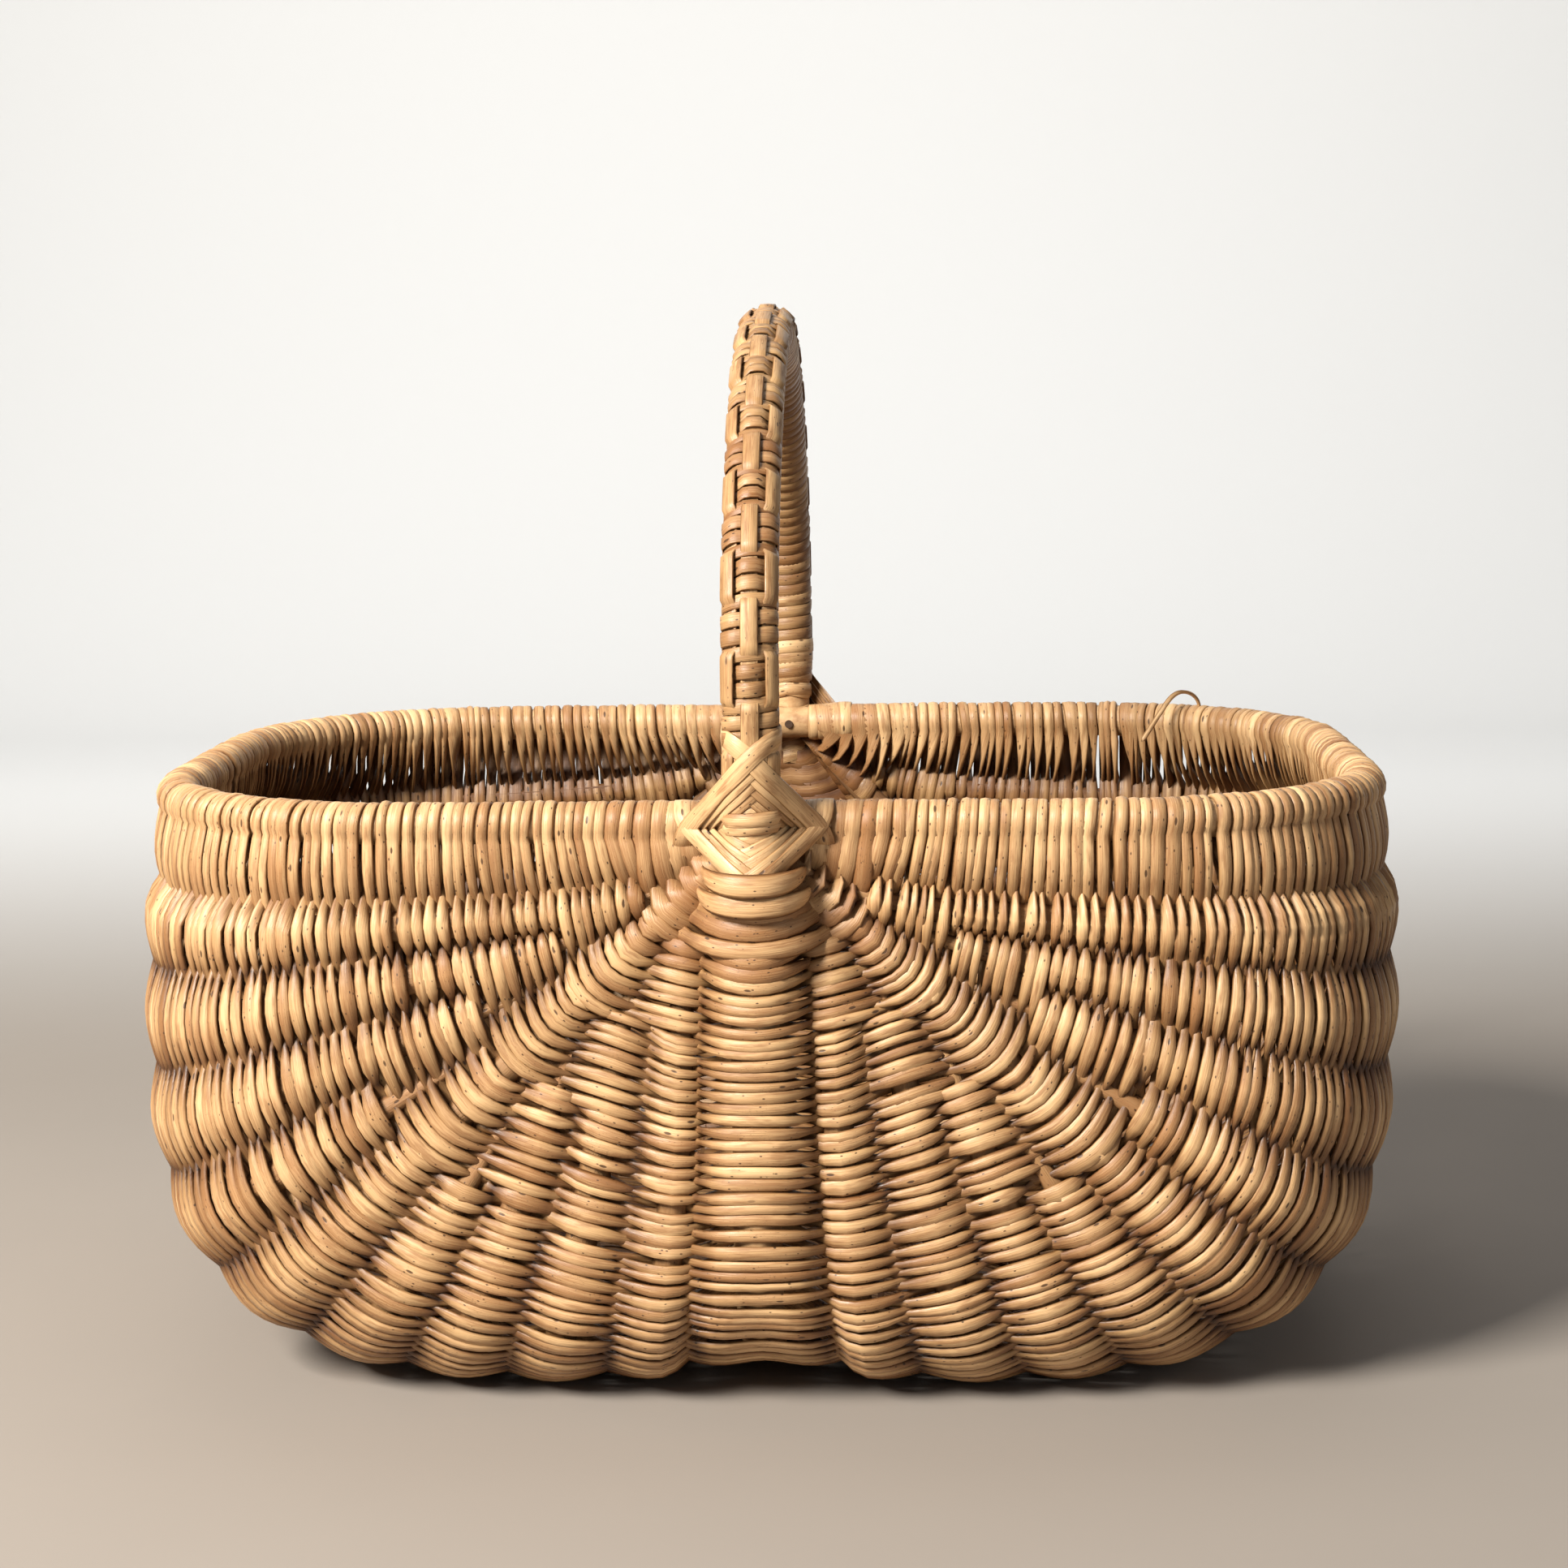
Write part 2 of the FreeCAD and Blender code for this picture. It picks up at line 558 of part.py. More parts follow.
rim_envelope = rim_rod("rim_envelope", (rim_sleeve, RIM_SLEEVE))


def cut(name, base, tool):
    """A boolean cut as an object of the document."""
    feature = doc.addObject("Part::Cut", name)
    feature.Label = name
    feature.Base = base
    feature.Tool = tool
    return feature


def group(name, pieces):
    compound = doc.addObject("Part::Compound", name)
    compound.Links = pieces
    return compound


def rim_binding(name, side):
    """The wraps round one half of the rim, side 1 on the right and -1 on the left."""
    box = doc.addObject("Part::Box", name + "_half")
    length = "(sizes.rim_half_length + 2 * {s})".format(s=RIM_SLEEVE)
    width = "(sizes.rim_half_width + 2 * {s})".format(s=RIM_SLEEVE)
    box.setExpression("Length", length + " - sizes.binding_start")
    box.setExpression("Width", "2 * " + width)
    box.setExpression("Height", "4 * " + RIM_SLEEVE)
    near_eye = "sizes.binding_start" if side > 0 else "-" + length
    box.setExpression("Placement.Base.x", near_eye)
    box.setExpression("Placement.Base.y", "-" + width)
    box.setExpression("Placement.Base.z", "sizes.rim_height - 2 * " + RIM_SLEEVE)
    sleeve = doc.addObject("Part::Common", name + "_envelope")
    sleeve.Base = rim_envelope
    sleeve.Tool = box
    return cut(name, sleeve, rim_hoop)


left_rim_binding = rim_binding("left_rim_binding", -1)
right_rim_binding = rim_binding("right_rim_binding", 1)

# ---------------------------------------------------------------- eye lashings


def diamond(body, name, half, depth, depth_formula):
    """A square standing on its corner, in a plane across Y."""
    sketch = body_sketch(body, name, "XZ_Plane", depth, depth_formula)
    number = size(half)
    corners = [(number, 0), (0, number), (-number, 0), (0, -number)]
    sides = [line(sketch, corners[i], corners[(i + 1) % 4]) for i in range(4)]
    for i in range(4):
        constrain(sketch, Sketcher.Constraint("Coincident", sides[i], END,
                                              sides[(i + 1) % 4], START))
    for i, axis in enumerate((X_AXIS, Y_AXIS, X_AXIS, Y_AXIS)):
        constrain(sketch, Sketcher.Constraint("PointOnObject", sides[i], START, axis))
    constrain(sketch, Sketcher.Constraint("Equal", sides[0], sides[1]))
    constrain(sketch, Sketcher.Constraint("Equal", sides[1], sides[2]))
    constrain(sketch, Sketcher.Constraint("Perpendicular", sides[0], sides[1]))
    constrain(sketch, Sketcher.Constraint("DistanceX", X_AXIS, START, sides[0], START, number),
              "half_diagonal", "sizes." + half)
    return sketch


def eye_blank():
    """The front lashing before the two hoops pass through it. It leaves the rim rod bare on
    the inside of the basket, where the nail's head is."""
    body = new_body("eye_blank")
    inner = (size("rim_half_width") - size("rim_rod") / 3,
             "sizes.rim_half_width - sizes.rim_rod / 3")
    middle = (hoop_side - size("hoop_rod"), HOOP_SIDE + " - sizes.hoop_rod")
    outer = (hoop_side + size("hoop_rod") + size("eye_cover"),
             HOOP_SIDE + " + sizes.hoop_rod + sizes.eye_cover")
    blank = body.newObject("PartDesign::AdditiveLoft", "eye_loft")
    blank.Profile = diamond(body, "eye_inside", "eye_inner", *inner)
    blank.Sections = [diamond(body, "eye_widest", "eye_middle", *middle),
                      diamond(body, "eye_outside", "eye_outer", *outer)]
    blank.Ruled = True
    return body


front_eye_blank = eye_blank()
front_eye_lashing = cut("front_eye_lashing", front_eye_blank,
                        group("crossing_hoops", [rim_hoop, handle_hoop]))
back_eye_lashing = doc.addObject("Part::Mirroring", "back_eye_lashing")
back_eye_lashing.Label = "back_eye_lashing"
back_eye_lashing.Source = front_eye_lashing
back_eye_lashing.Normal = Vector(0, 1, 0)

# ---------------------------------------------------------------- woven body


def woven_front():
    """The front half of the weave as a closed wall, from the right rim down under the basket
    and up to the left rim: one section in each rib's plane, with straight spans between."""
    start = (size("weave_start"), "sizes.weave_start")
    wall = (half_wall, HALF_WALL)
    rim = ((size("rim_half_length"), "sizes.rim_half_length"),
           (size("rim_half_width"), "sizes.rim_half_width"),
           (size("rim_corner"), "sizes.rim_corner"), wall)
    hoop = ((hoop_drop, HOOP_DROP), (hoop_side, HOOP_SIDE),
            (size("hoop_low_corner"), "sizes.hoop_low_corner"), (hoop_wall, HOOP_WALL))
    rib_rows = range(1, RIBS_PER_SIDE + 1)
    rib_sizes = {k: (rib_reach(k), rib_side(k), rib_corner(k), wall) for k in rib_rows}
    fan = [((0, "0"), rim)]
    fan += [(right_heading(k), rib_sizes[k]) for k in rib_rows]
    fan += [((90, "90"), hoop)]
    fan += [(left_heading(k), rib_sizes[k]) for k in reversed(rib_rows)]
    fan += [((180, "180"), rim)]
    sections = []
    for number, (heading, (reach, side, corner, half)) in enumerate(fan):
        sections.append(wall_section("wall_section_%d" % number, heading, start, reach, side,
                                     corner, half))
    loft = doc.addObject("Part::Loft", "front_wall")
    loft.Sections = sections
    loft.Solid = True
    loft.Ruled = True
    return loft


def floor_block():
    """What lies under the floor: it cuts the worn flats on the basket's lowest lobes."""
    block = doc.addObject("Part::Box", "floor_block")
    block.setExpression("Length", "4 * sizes.rim_half_length")
    block.setExpression("Width", "4 * sizes.rim_half_width")
    block.setExpression("Height", "sizes.rim_height")
    block.setExpression("Placement.Base.x", "-2 * sizes.rim_half_length")
    block.setExpression("Placement.Base.y", "-2 * sizes.rim_half_width")
    block.setExpression("Placement.Base.z", "-sizes.rim_height")
    return block


front_wall = woven_front()
frame_in_weave = group("frame_in_weave", ribs + [handle_hoop, rim_envelope, front_eye_blank,
                                                 floor_block()])
front_weave = cut("front_weave", front_wall, frame_in_weave)
back_weave = doc.addObject("Part::Mirroring", "back_weave")
back_weave.Label = "back_weave"
back_weave.Source = front_weave
back_weave.Normal = Vector(0, 1, 0)

# ---------------------------------------------------------------- handle strips and wrap


def handle_sleeve(name, profile_maker):
    """Something that runs along the handle from the front eye to the back eye."""
    body = new_body(name)
    path = body_sketch(body, name + "_path", "YZ_Plane")
    arch(path, size("strip_foot"), "sizes.strip_foot")
    profile = profile_maker(body)
    mirrored(body, [pipe(body, profile, path)], "XZ_Plane")
    return body


def strip_profile(step):
    """Section of a strip lying on the outside of the handle's rod; step is -1, 0 or 1 for
    the left, centre and right strip."""

    def profile_maker(body):
        sketch = body_sketch(body, body.Name + "_profile", "XZ_Plane")
        rise = size("handle_rise")
        middle = 90 - step * size("strip_spacing")
        low = middle - size("strip_half_angle")
        high = middle + size("strip_half_angle")
        middle_formula = "90 - (%d) * sizes.strip_spacing" % step
        inner = arc(sketch, (0, rise), size("hoop_rod"), low, high)
        outer = arc(sketch, (0, rise), strip_top, low, high)
        edges = []
        for angle, end in ((low, START), (high, END)):
            ray = Vector(math.cos(math.radians(angle)), math.sin(math.radians(angle)), 0)
            first = Vector(0, rise, 0) + ray * size("hoop_rod")
            last = Vector(0, rise, 0) + ray * strip_top
            edge = sketch.addGeometry(Part.LineSegment(first, last), False)
            constrain(sketch, Sketcher.Constraint("Coincident", edge, START, inner, end))
            constrain(sketch, Sketcher.Constraint("Coincident", edge, END, outer, end))
            constrain(sketch, Sketcher.Constraint("PointOnObject", inner, CENTRE, edge))
            edges.append(edge)
        constrain(sketch, Sketcher.Constraint("Coincident", inner, CENTRE, outer, CENTRE))
        constrain(sketch, Sketcher.Constraint("PointOnObject", inner, CENTRE, Y_AXIS))
        constrain(sketch, Sketcher.Constraint("DistanceY", X_AXIS, START, inner, CENTRE, rise),
                  "rise", "sizes.handle_rise")
        constrain(sketch, Sketcher.Constraint("Radius", inner, size("hoop_rod")),
                  "inside", "sizes.hoop_rod")
        constrain(sketch, Sketcher.Constraint("Radius", outer, strip_top), "outside", STRIP_TOP)
        constrain(sketch, Sketcher.Constraint("Angle", edges[0], math.radians(low)),
                  "low", middle_formula + " - sizes.strip_half_angle")
        constrain(sketch, Sketcher.Constraint("Angle", edges[1], math.radians(high)),
                  "high", middle_formula + " + sizes.strip_half_angle")
        return sketch

    return profile_maker


handle_strips = [
    handle_sleeve("handle_strip_left", strip_profile(-1)),
    handle_sleeve("handle_strip_centre", strip_profile(0)),
    handle_sleeve("handle_strip_right", strip_profile(1)),
]
wrap_envelope = handle_sleeve(
    "handle_wrap_envelope", lambda body: handle_profile(body, (wrap_top, WRAP_TOP)))
handle_core = group("handle_core", handle_strips + [handle_hoop])
handle_wrap = cut("handle_wrap", wrap_envelope, handle_core)

# ---------------------------------------------------------------- rim nails


def round_bar(kind, name, start, height):
    """A cylinder or cone along +Y, from start to start + height, at the rim's height."""
    bar = doc.addObject(kind, name)
    bar.Placement = Placement(Vector(), Rotation(Vector(1, 0, 0), -90))
    bar.setExpression("Placement.Base.y", start)
    bar.setExpression("Placement.Base.z", "sizes.rim_height")
    bar.setExpression("Height", height)
    return bar


def back_nail():
    """A wire nail driven from inside the basket through the rim into the handle hoop."""
    rim_face = "(sizes.rim_half_width - sizes.rim_rod)"
    shank_end = "(" + HOOP_SIDE + " - sizes.hoop_rod + sizes.nail_in_hoop - sizes.nail_point)"
    head = round_bar("Part::Cylinder", "nail_head_disc", rim_face + " - sizes.nail_head_thick",
                     "sizes.nail_head_thick")
    head.setExpression("Radius", "sizes.nail_head")
    shank = round_bar("Part::Cylinder", "nail_shank_bar", rim_face, shank_end + " - " + rim_face)
    shank.setExpression("Radius", "sizes.nail_shank")
    point = round_bar("Part::Cone", "nail_point_cone", shank_end, "sizes.nail_point")
    point.setExpression("Radius1", "sizes.nail_shank")
    point.setExpression("Radius2", "sizes.nail_shank / 4")
    nail = doc.addObject("Part::MultiFuse", "back_rim_nail")
    nail.Label = "back_rim_nail"
    nail.Shapes = [head, shank, point]
    return nail


back_rim_nail = back_nail()
front_rim_nail = doc.addObject("Part::Mirroring", "front_rim_nail")
front_rim_nail.Label = "front_rim_nail"
front_rim_nail.Source = back_rim_nail
front_rim_nail.Normal = Vector(0, 1, 0)

# ---------------------------------------------------------------- loose weaver end


def loose_end():
    """A weaver's stiff end that has sprung out of the wraps at the back right corner of the
    rim: straight up, over in a tight bend, and down towards the inside to a cut point."""
    name = "loose_end_blank"
    body = doc.addObject("PartDesign::Body", name)
    body.Placement = Placement(Vector(), Rotation(Vector(0, 0, 1), size("loose_end_heading")))
    body.setExpression("Placement.Rotation.Angle", "sizes.loose_end_heading")
    turn = "sizes.rim_half_{axis} - sizes.rim_corner + sizes.rim_corner * {f}(" \
           "sizes.loose_end_corner_angle * 1 deg)"
    body.setExpression("Placement.Base.x", turn.format(axis="length", f="cos"))
    body.setExpression("Placement.Base.y", turn.format(axis="width", f="sin"))
    body.setExpression("Placement.Base.z", "sizes.rim_height + sizes.rim_rod")
    rise = size("loose_end_rise")
    bend = size("loose_end_bend")
    last = math.radians(180 - size("loose_end_turn"))
    finish = Vector(bend + bend * math.cos(last), rise + bend * math.sin(last), 0)
    ahead = Vector(math.sin(last), -math.cos(last), 0)
    after = finish + ahead * size("loose_end_run")
    path = body_sketch(body, name + "_path", "XZ_Plane")
    up = line(path, (0, 0), (0, rise))
    over = arc(path, (bend, rise), bend, math.degrees(last), 180)
    down = line(path, (finish.x, finish.y), (after.x, after.y))
    constrain(path, Sketcher.Constraint("Coincident", up, START, X_AXIS, START))
    constrain(path, Sketcher.Constraint("Vertical", up))
    constrain(path, Sketcher.Constraint("Tangent", up, END, over, END))
    constrain(path, Sketcher.Constraint("Tangent", over, START, down, START))
    constrain(path, Sketcher.Constraint("Distance", up, rise), "rise", "sizes.loose_end_rise")
    constrain(path, Sketcher.Constraint("Radius", over, bend), "bend", "sizes.loose_end_bend")
    constrain(path, Sketcher.Constraint("Distance", down, size("loose_end_run")),
              "run", "sizes.loose_end_run")
    constrain(path, Sketcher.Constraint("Angle", down, math.radians(90 - size("loose_end_turn"))),
              "turn", "90 - sizes.loose_end_turn")
    foot = body_sketch(body, name + "_foot", "XY_Plane")
    flat_section(foot, (size("loose_end_thick"), "sizes.loose_end_thick"),
                 (size("loose_end_width"), "sizes.loose_end_width"))
    pipe(body, foot, path)
    return body


def flat_section(sketch, across, along):
    """A rectangle about the sketch's origin. Both sizes are (number, formula)."""
    x = across[0] / 2
    y = along[0] / 2
    corners = [(-x, -y), (x, -y), (x, y), (-x, y)]
    sides = [line(sketch, corners[i], corners[(i + 1) % 4]) for i in range(4)]
    for i in range(4):
        constrain(sketch, Sketcher.Constraint("Coincident", sides[i], END,
                                              sides[(i + 1) % 4], START))
    constrain(sketch, Sketcher.Constraint("Horizontal", sides[0]))
    constrain(sketch, Sketcher.Constraint("Horizontal", sides[2]))
    constrain(sketch, Sketcher.Constraint("Vertical", sides[1]))
    constrain(sketch, Sketcher.Constraint("Symmetric", sides[0], START, sides[1], END,
                                          X_AXIS, START))
    constrain(sketch, Sketcher.Constraint("Distance", sides[0], across[0]),
              "across", across[1])
    constrain(sketch, Sketcher.Constraint("Distance", sides[1], along[0]), "along", along[1])


loose_weaver_end = cut("loose_weaver_end", loose_end(), rim_envelope)

# ---------------------------------------------------------------- checks and export

doc.recompute()

NODES = (
    [rim_hoop, handle_hoop] + ribs
    + [left_rim_binding, right_rim_binding, front_weave, back_weave]
    + handle_strips
    + [handle_wrap, front_eye_lashing, back_eye_lashing, front_rim_nail, back_rim_nail,
       loose_weaver_end]
)

for item in doc.Objects:
    if "Invalid" in item.State or "Error" in item.State:
        raise RuntimeError(item.Name + " failed: " + ", ".join(item.State))
for node in NODES:
    if node.Shape.isNull() or not node.Shape.isValid():
        raise RuntimeError(node.Label + " has no valid shape")

os.makedirs("parts", exist_ok=True)
for node in NODES:
    node.Shape.exportStep("parts/%s.step" % node.Label)
print(len(NODES), "sub-parts written")
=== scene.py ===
"""A rib basket of split willow: woven walls, bound rim, lashed eyes and a wrapped handle."""

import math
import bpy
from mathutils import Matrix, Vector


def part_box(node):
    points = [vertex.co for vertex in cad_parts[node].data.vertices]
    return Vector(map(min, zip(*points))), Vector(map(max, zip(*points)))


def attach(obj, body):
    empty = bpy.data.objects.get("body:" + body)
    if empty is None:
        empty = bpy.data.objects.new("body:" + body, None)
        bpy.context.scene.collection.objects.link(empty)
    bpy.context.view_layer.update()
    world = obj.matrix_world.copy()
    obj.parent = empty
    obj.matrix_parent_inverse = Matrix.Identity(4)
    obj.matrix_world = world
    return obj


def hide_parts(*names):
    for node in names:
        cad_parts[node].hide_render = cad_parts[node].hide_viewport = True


bl_info = {
    "name": "Woven Market Basket",
    "version": (1, 0, 0),
    "blender": (4, 5, 0),
    "location": "View3D > Sidebar > Basket",
    "description": "Weaves a rib basket of split willow round its frame and sets a small studio",
    "category": "Object",
}

import bmesh
import bpy
import numpy as np
from mathutils import Matrix, Vector

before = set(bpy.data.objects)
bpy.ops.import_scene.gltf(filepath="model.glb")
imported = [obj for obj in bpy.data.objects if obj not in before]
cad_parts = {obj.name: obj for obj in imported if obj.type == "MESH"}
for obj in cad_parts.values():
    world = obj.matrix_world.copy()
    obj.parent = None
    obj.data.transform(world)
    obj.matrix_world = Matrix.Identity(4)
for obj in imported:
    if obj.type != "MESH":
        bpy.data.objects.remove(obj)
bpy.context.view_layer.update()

RIM_LOW, RIM_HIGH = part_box("rim_hoop")
HOOP_LOW, HOOP_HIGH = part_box("handle_hoop")
RIM_HEIGHT = (RIM_LOW.z + RIM_HIGH.z) / 2
RIM_ROD = (RIM_HIGH.z - RIM_LOW.z) / 2
HOOP_ROD = HOOP_HIGH.x
HOOP_SIDE = HOOP_HIGH.y - HOOP_ROD
HOOP_DROP = RIM_HEIGHT - HOOP_LOW.z - HOOP_ROD
HANDLE_RISE = HOOP_HIGH.z - HOOP_ROD - RIM_HEIGHT
RIM_CORNER = 0.105
HOOP_CORNER = 0.055

# each rib: its angle below the rim, where its tip is, the angle that its tip starts at,
# and how soon it straightens
RIBS = [
    (9.3, 0.046, 33.5, 0.069),
    (18.2, 0.076, 33.0, 0.069),
    (26.8, 0.110, 35.5, 0.065),
    (35.3, 0.146, 38.5, 0.060),
    (44.2, 0.012, 44.8, 0.060),
    (53.2, 0.146, 50.0, 0.060),
    (62.0, 0.110, 51.0, 0.060),
    (70.4, 0.076, 53.0, 0.057),
    (79.6, 0.046, 58.0, 0.042),
]
SQUARENESS = 4.6
HALF_WALL = 0.0062
BODY_BULGE = 0.0065
BOTTOM_DIP = 0.0037
BOTTOM_LIFT = 0.008
LIFT_POWER = 16     # how closely the lift of the bottom keeps to the middle
BELLY = 0.005
COLUMN_PROUD = 0.013
PROUD_POWER = 10    # how closely the pushed-out ribs keep to the handle hoop
LOW_CORNER = 0.045  # corner radius of the lowest rib


class BasketWeave(bpy.types.PropertyGroup):
    rows: bpy.props.IntProperty(
        name="Rows", description="Rows of weaving from one eye to the middle", default=148, min=20
    )
    skein_thickness: bpy.props.FloatProperty(
        name="Skein thickness", description="Thickness of one willow skein", default=0.0017, unit="LENGTH"
    )
    fullness: bpy.props.FloatProperty(
        name="Fullness", description="Skein width against the room it has", default=1.03, min=0.5, max=1.2
    )
    valley_width: bpy.props.FloatProperty(
        name="Valley width", description="Share of its width kept where a skein turns in", default=0.38
    )
    over_rib: bpy.props.FloatProperty(
        name="Stand over a rib", description="From a rib's middle to the skein on it", default=0.0043,
        unit="LENGTH",
    )
    over_rod: bpy.props.FloatProperty(
        name="Stand over a rod", description="Gap from a round rod to the skein on it", default=0.0003,
        unit="LENGTH",
    )
    first_row: bpy.props.FloatProperty(
        name="First row", description="Distance of the first row from the eye", default=0.0125, unit="LENGTH"
    )
    variety: bpy.props.FloatProperty(
        name="Variety", description="How much the skeins differ in width", default=0.24, min=0
    )
    unevenness: bpy.props.FloatProperty(
        name="Unevenness", description="How far the hand work strays", default=0.00045, unit="LENGTH"
    )
    seed: bpy.props.IntProperty(name="Seed", description="Changes the stray of the hand work", default=7)


class BasketLashing(bpy.types.PropertyGroup):
    eye_radius: bpy.props.FloatProperty(
        name="Eye", description="Half the diagonal of a lashed eye", default=0.0235, unit="LENGTH"
    )
    eye_heart: bpy.props.FloatVectorProperty(
        name="Heart", description="Half width and half height of an eye's first ring",
        default=(0.0100, 0.0045), size=2, unit="LENGTH",
    )
    eye_rings: bpy.props.IntProperty(name="Rings", description="Rings of skein in an eye", default=5, min=2)
    eye_skein: bpy.props.FloatProperty(
        name="Eye skein", description="Width of the skein round an eye", default=0.0068, unit="LENGTH"
    )
    strip_width: bpy.props.FloatProperty(
        name="Handle strip", description="Width of one strip along the handle", default=0.0064, unit="LENGTH"
    )
    strip_spread: bpy.props.FloatProperty(
        name="Strip spread", description="Angle from one strip to the next", default=math.radians(44),
        subtype="ANGLE",
    )
    wrap_pitch: bpy.props.FloatProperty(
        name="Wrap pitch", description="Advance of one turn round the handle", default=0.0056, unit="LENGTH"
    )
    wraps_a_block: bpy.props.IntProperty(
        name="Turns a block", description="Turns before the strips change over", default=3, min=1
    )


class BasketColours(bpy.types.PropertyGroup):
    straw: bpy.props.FloatVectorProperty(
        name="Straw", description="Pale willow", default=(0.75, 0.485, 0.24), subtype="COLOR", min=0, max=1
    )
    tan: bpy.props.FloatVectorProperty(
        name="Tan", description="Darker willow", default=(0.34, 0.165, 0.062), subtype="COLOR", min=0, max=1
    )
    russet: bpy.props.FloatVectorProperty(
        name="Russet", description="Reddish bark", default=(0.33, 0.115, 0.035), subtype="COLOR", min=0, max=1
    )
    soil: bpy.props.FloatVectorProperty(
        name="Age", description="Dark specks and old dirt", default=(0.07, 0.030, 0.011), subtype="COLOR",
        min=0, max=1,
    )
    lath: bpy.props.FloatVectorProperty(
        name="Lath", description="Split face of a rib", default=(0.42, 0.24, 0.10), subtype="COLOR",
        min=0, max=1,
    )
    rust: bpy.props.FloatVectorProperty(
        name="Rust", description="Old nail heads", default=(0.045, 0.024, 0.014), subtype="COLOR",
        min=0, max=1,
    )
    floor: bpy.props.FloatVectorProperty(
        name="Floor", description="Pale floor", default=(0.285, 0.247, 0.21), subtype="COLOR", min=0, max=1
    )
    wall: bpy.props.FloatVectorProperty(
        name="Backdrop", description="Pale backdrop", default=(0.86, 0.86, 0.85), subtype="COLOR",
        min=0, max=1,
    )


class BasketStudio(bpy.types.PropertyGroup):
    camera_place: bpy.props.FloatVectorProperty(
        name="Camera", description="Where the camera stands", default=(0.0577, -1.2290, 0.3827),
        subtype="XYZ", unit="LENGTH",
    )
    yaw: bpy.props.FloatProperty(
        name="Yaw", description="Turn of the camera", default=-0.0437, subtype="ANGLE"
    )
    dip: bpy.props.FloatProperty(name="Dip", description="Downward look", default=0.1381, subtype="ANGLE")
    roll: bpy.props.FloatProperty(
        name="Roll", description="Tilt of the camera", default=0.0126, subtype="ANGLE"
    )
    lens: bpy.props.FloatProperty(
        name="Lens", description="Focal length on a 36 mm sensor", default=69.23, subtype="DISTANCE_CAMERA"
    )
    key_power: bpy.props.FloatProperty(
        name="Key light", description="Power of the large soft light", default=122.0, unit="POWER"
    )
    fill_power: bpy.props.FloatProperty(
        name="Fill light", description="Power of the light from the other side", default=4.2, unit="POWER"
    )
    wall_power: bpy.props.FloatProperty(
        name="Wall light", description="Power of the light on the backdrop", default=25.0, unit="POWER"
    )
    sky: bpy.props.FloatProperty(
        name="Sky", description="Strength of the light from all round", default=0.14, min=0
    )


# ---- the frame that the skeins follow


class Stake:
    """A rod or rib, followed from an eye to the middle of the basket; lengths run from the eye."""

    def __init__(self, hand, shape, stand, final, begin=None, start=0.0, settle=1.0):
        self.hand, self.shape, self.stand = hand, shape, stand
        self.final, self.begin, self.start, self.settle = final, begin or final, start, settle
        reach, side, corner = shape(final)
        self.length = reach + side - corner * (2 - math.pi / 2)

    def angle(self, s):
        return self.final + (self.begin - self.final) * math.exp(-max(s - self.start, 0) / self.settle)

    def place(self, s):
        angle = self.angle(s)
        reach, side, corner = self.shape(angle)
        out = np.array([self.hand * math.cos(angle), 0.0, -math.sin(angle)])
        cross = np.array([0.0, 1.0, 0.0])
        run, bend = reach - corner, corner * math.pi / 2
        if s < run:
            u, y, turn = s, -side, 0.0
        elif s < run + bend:
            turn = (s - run) / corner
            u, y = run + corner * math.sin(turn), -side + corner * (1 - math.cos(turn))
        else:
            turn = math.pi / 2
            u, y = reach, corner - side + (s - run - bend)
        point = out * u + cross * y + np.array([0.0, 0.0, RIM_HEIGHT])
        return point, out * math.sin(turn) - cross * math.cos(turn)

    def at(self, s):
        """Point, direction and outward normal at distance s, on the half towards -Y."""
        point, normal = self.place(s)
        along = unit(self.place(s + 0.001)[0] - point)
        return point, along, normal


def wall_shape(angle):
    """Reach from the eye, half width and corner radius of the wall at an angle below the rim."""
    long, side, corner = rim_shape(angle)
    deep = RIM_HEIGHT - HALF_WALL + BOTTOM_DIP
    across = (math.cos(angle) / (long + BODY_BULGE)) ** SQUARENESS
    down = (math.sin(angle) / deep) ** SQUARENESS
    reach = (across + down) ** (-1 / SQUARENESS) - BOTTOM_LIFT * math.sin(angle) ** LIFT_POWER
    side += BELLY * math.sin(2 * angle) + COLUMN_PROUD * math.sin(angle) ** PROUD_POWER
    return reach, side, corner + (LOW_CORNER - corner) * math.sin(angle)


def rim_shape(angle):
    return RIM_HIGH.x - RIM_ROD, RIM_HIGH.y - RIM_ROD, RIM_CORNER


def hoop_shape(angle):
    return HOOP_DROP, HOOP_SIDE, HOOP_CORNER


def rib_stakes(hand, stand):
    return [
        Stake(hand, wall_shape, stand, math.radians(final), math.radians(begin), start, settle)
        for final, start, begin, settle in RIBS
    ]


def stakes_across(weave):
    """Left rim, left ribs, hoop, right ribs, right rim."""
    rims = [Stake(hand, rim_shape, RIM_ROD + weave.over_rod, 0.0) for hand in (-1, 1)]
    hoop = Stake(1, hoop_shape, HOOP_ROD + weave.over_rod, math.pi / 2)
    return (
        [rims[0]] + rib_stakes(-1, weave.over_rib) + [hoop] + rib_stakes(1, weave.over_rib)[::-1] + [rims[1]]
    )


def unit(v):
    return v / max(np.linalg.norm(v), 1e-12)


def units(v):
    return v / np.maximum(np.linalg.norm(v, axis=1, keepdims=True), 1e-12)


def bent(start, leaving, stop, arriving, f):
    """A smooth line from start to stop with the given directions at its ends."""
    g = 1 - f
    near = start * (1 + 2 * f) * g * g + leaving * f * g * g
    return near + stop * f * f * (3 - 2 * f) - arriving * f * f * g


def ease(f):
    return f * f * (3 - 2 * f)


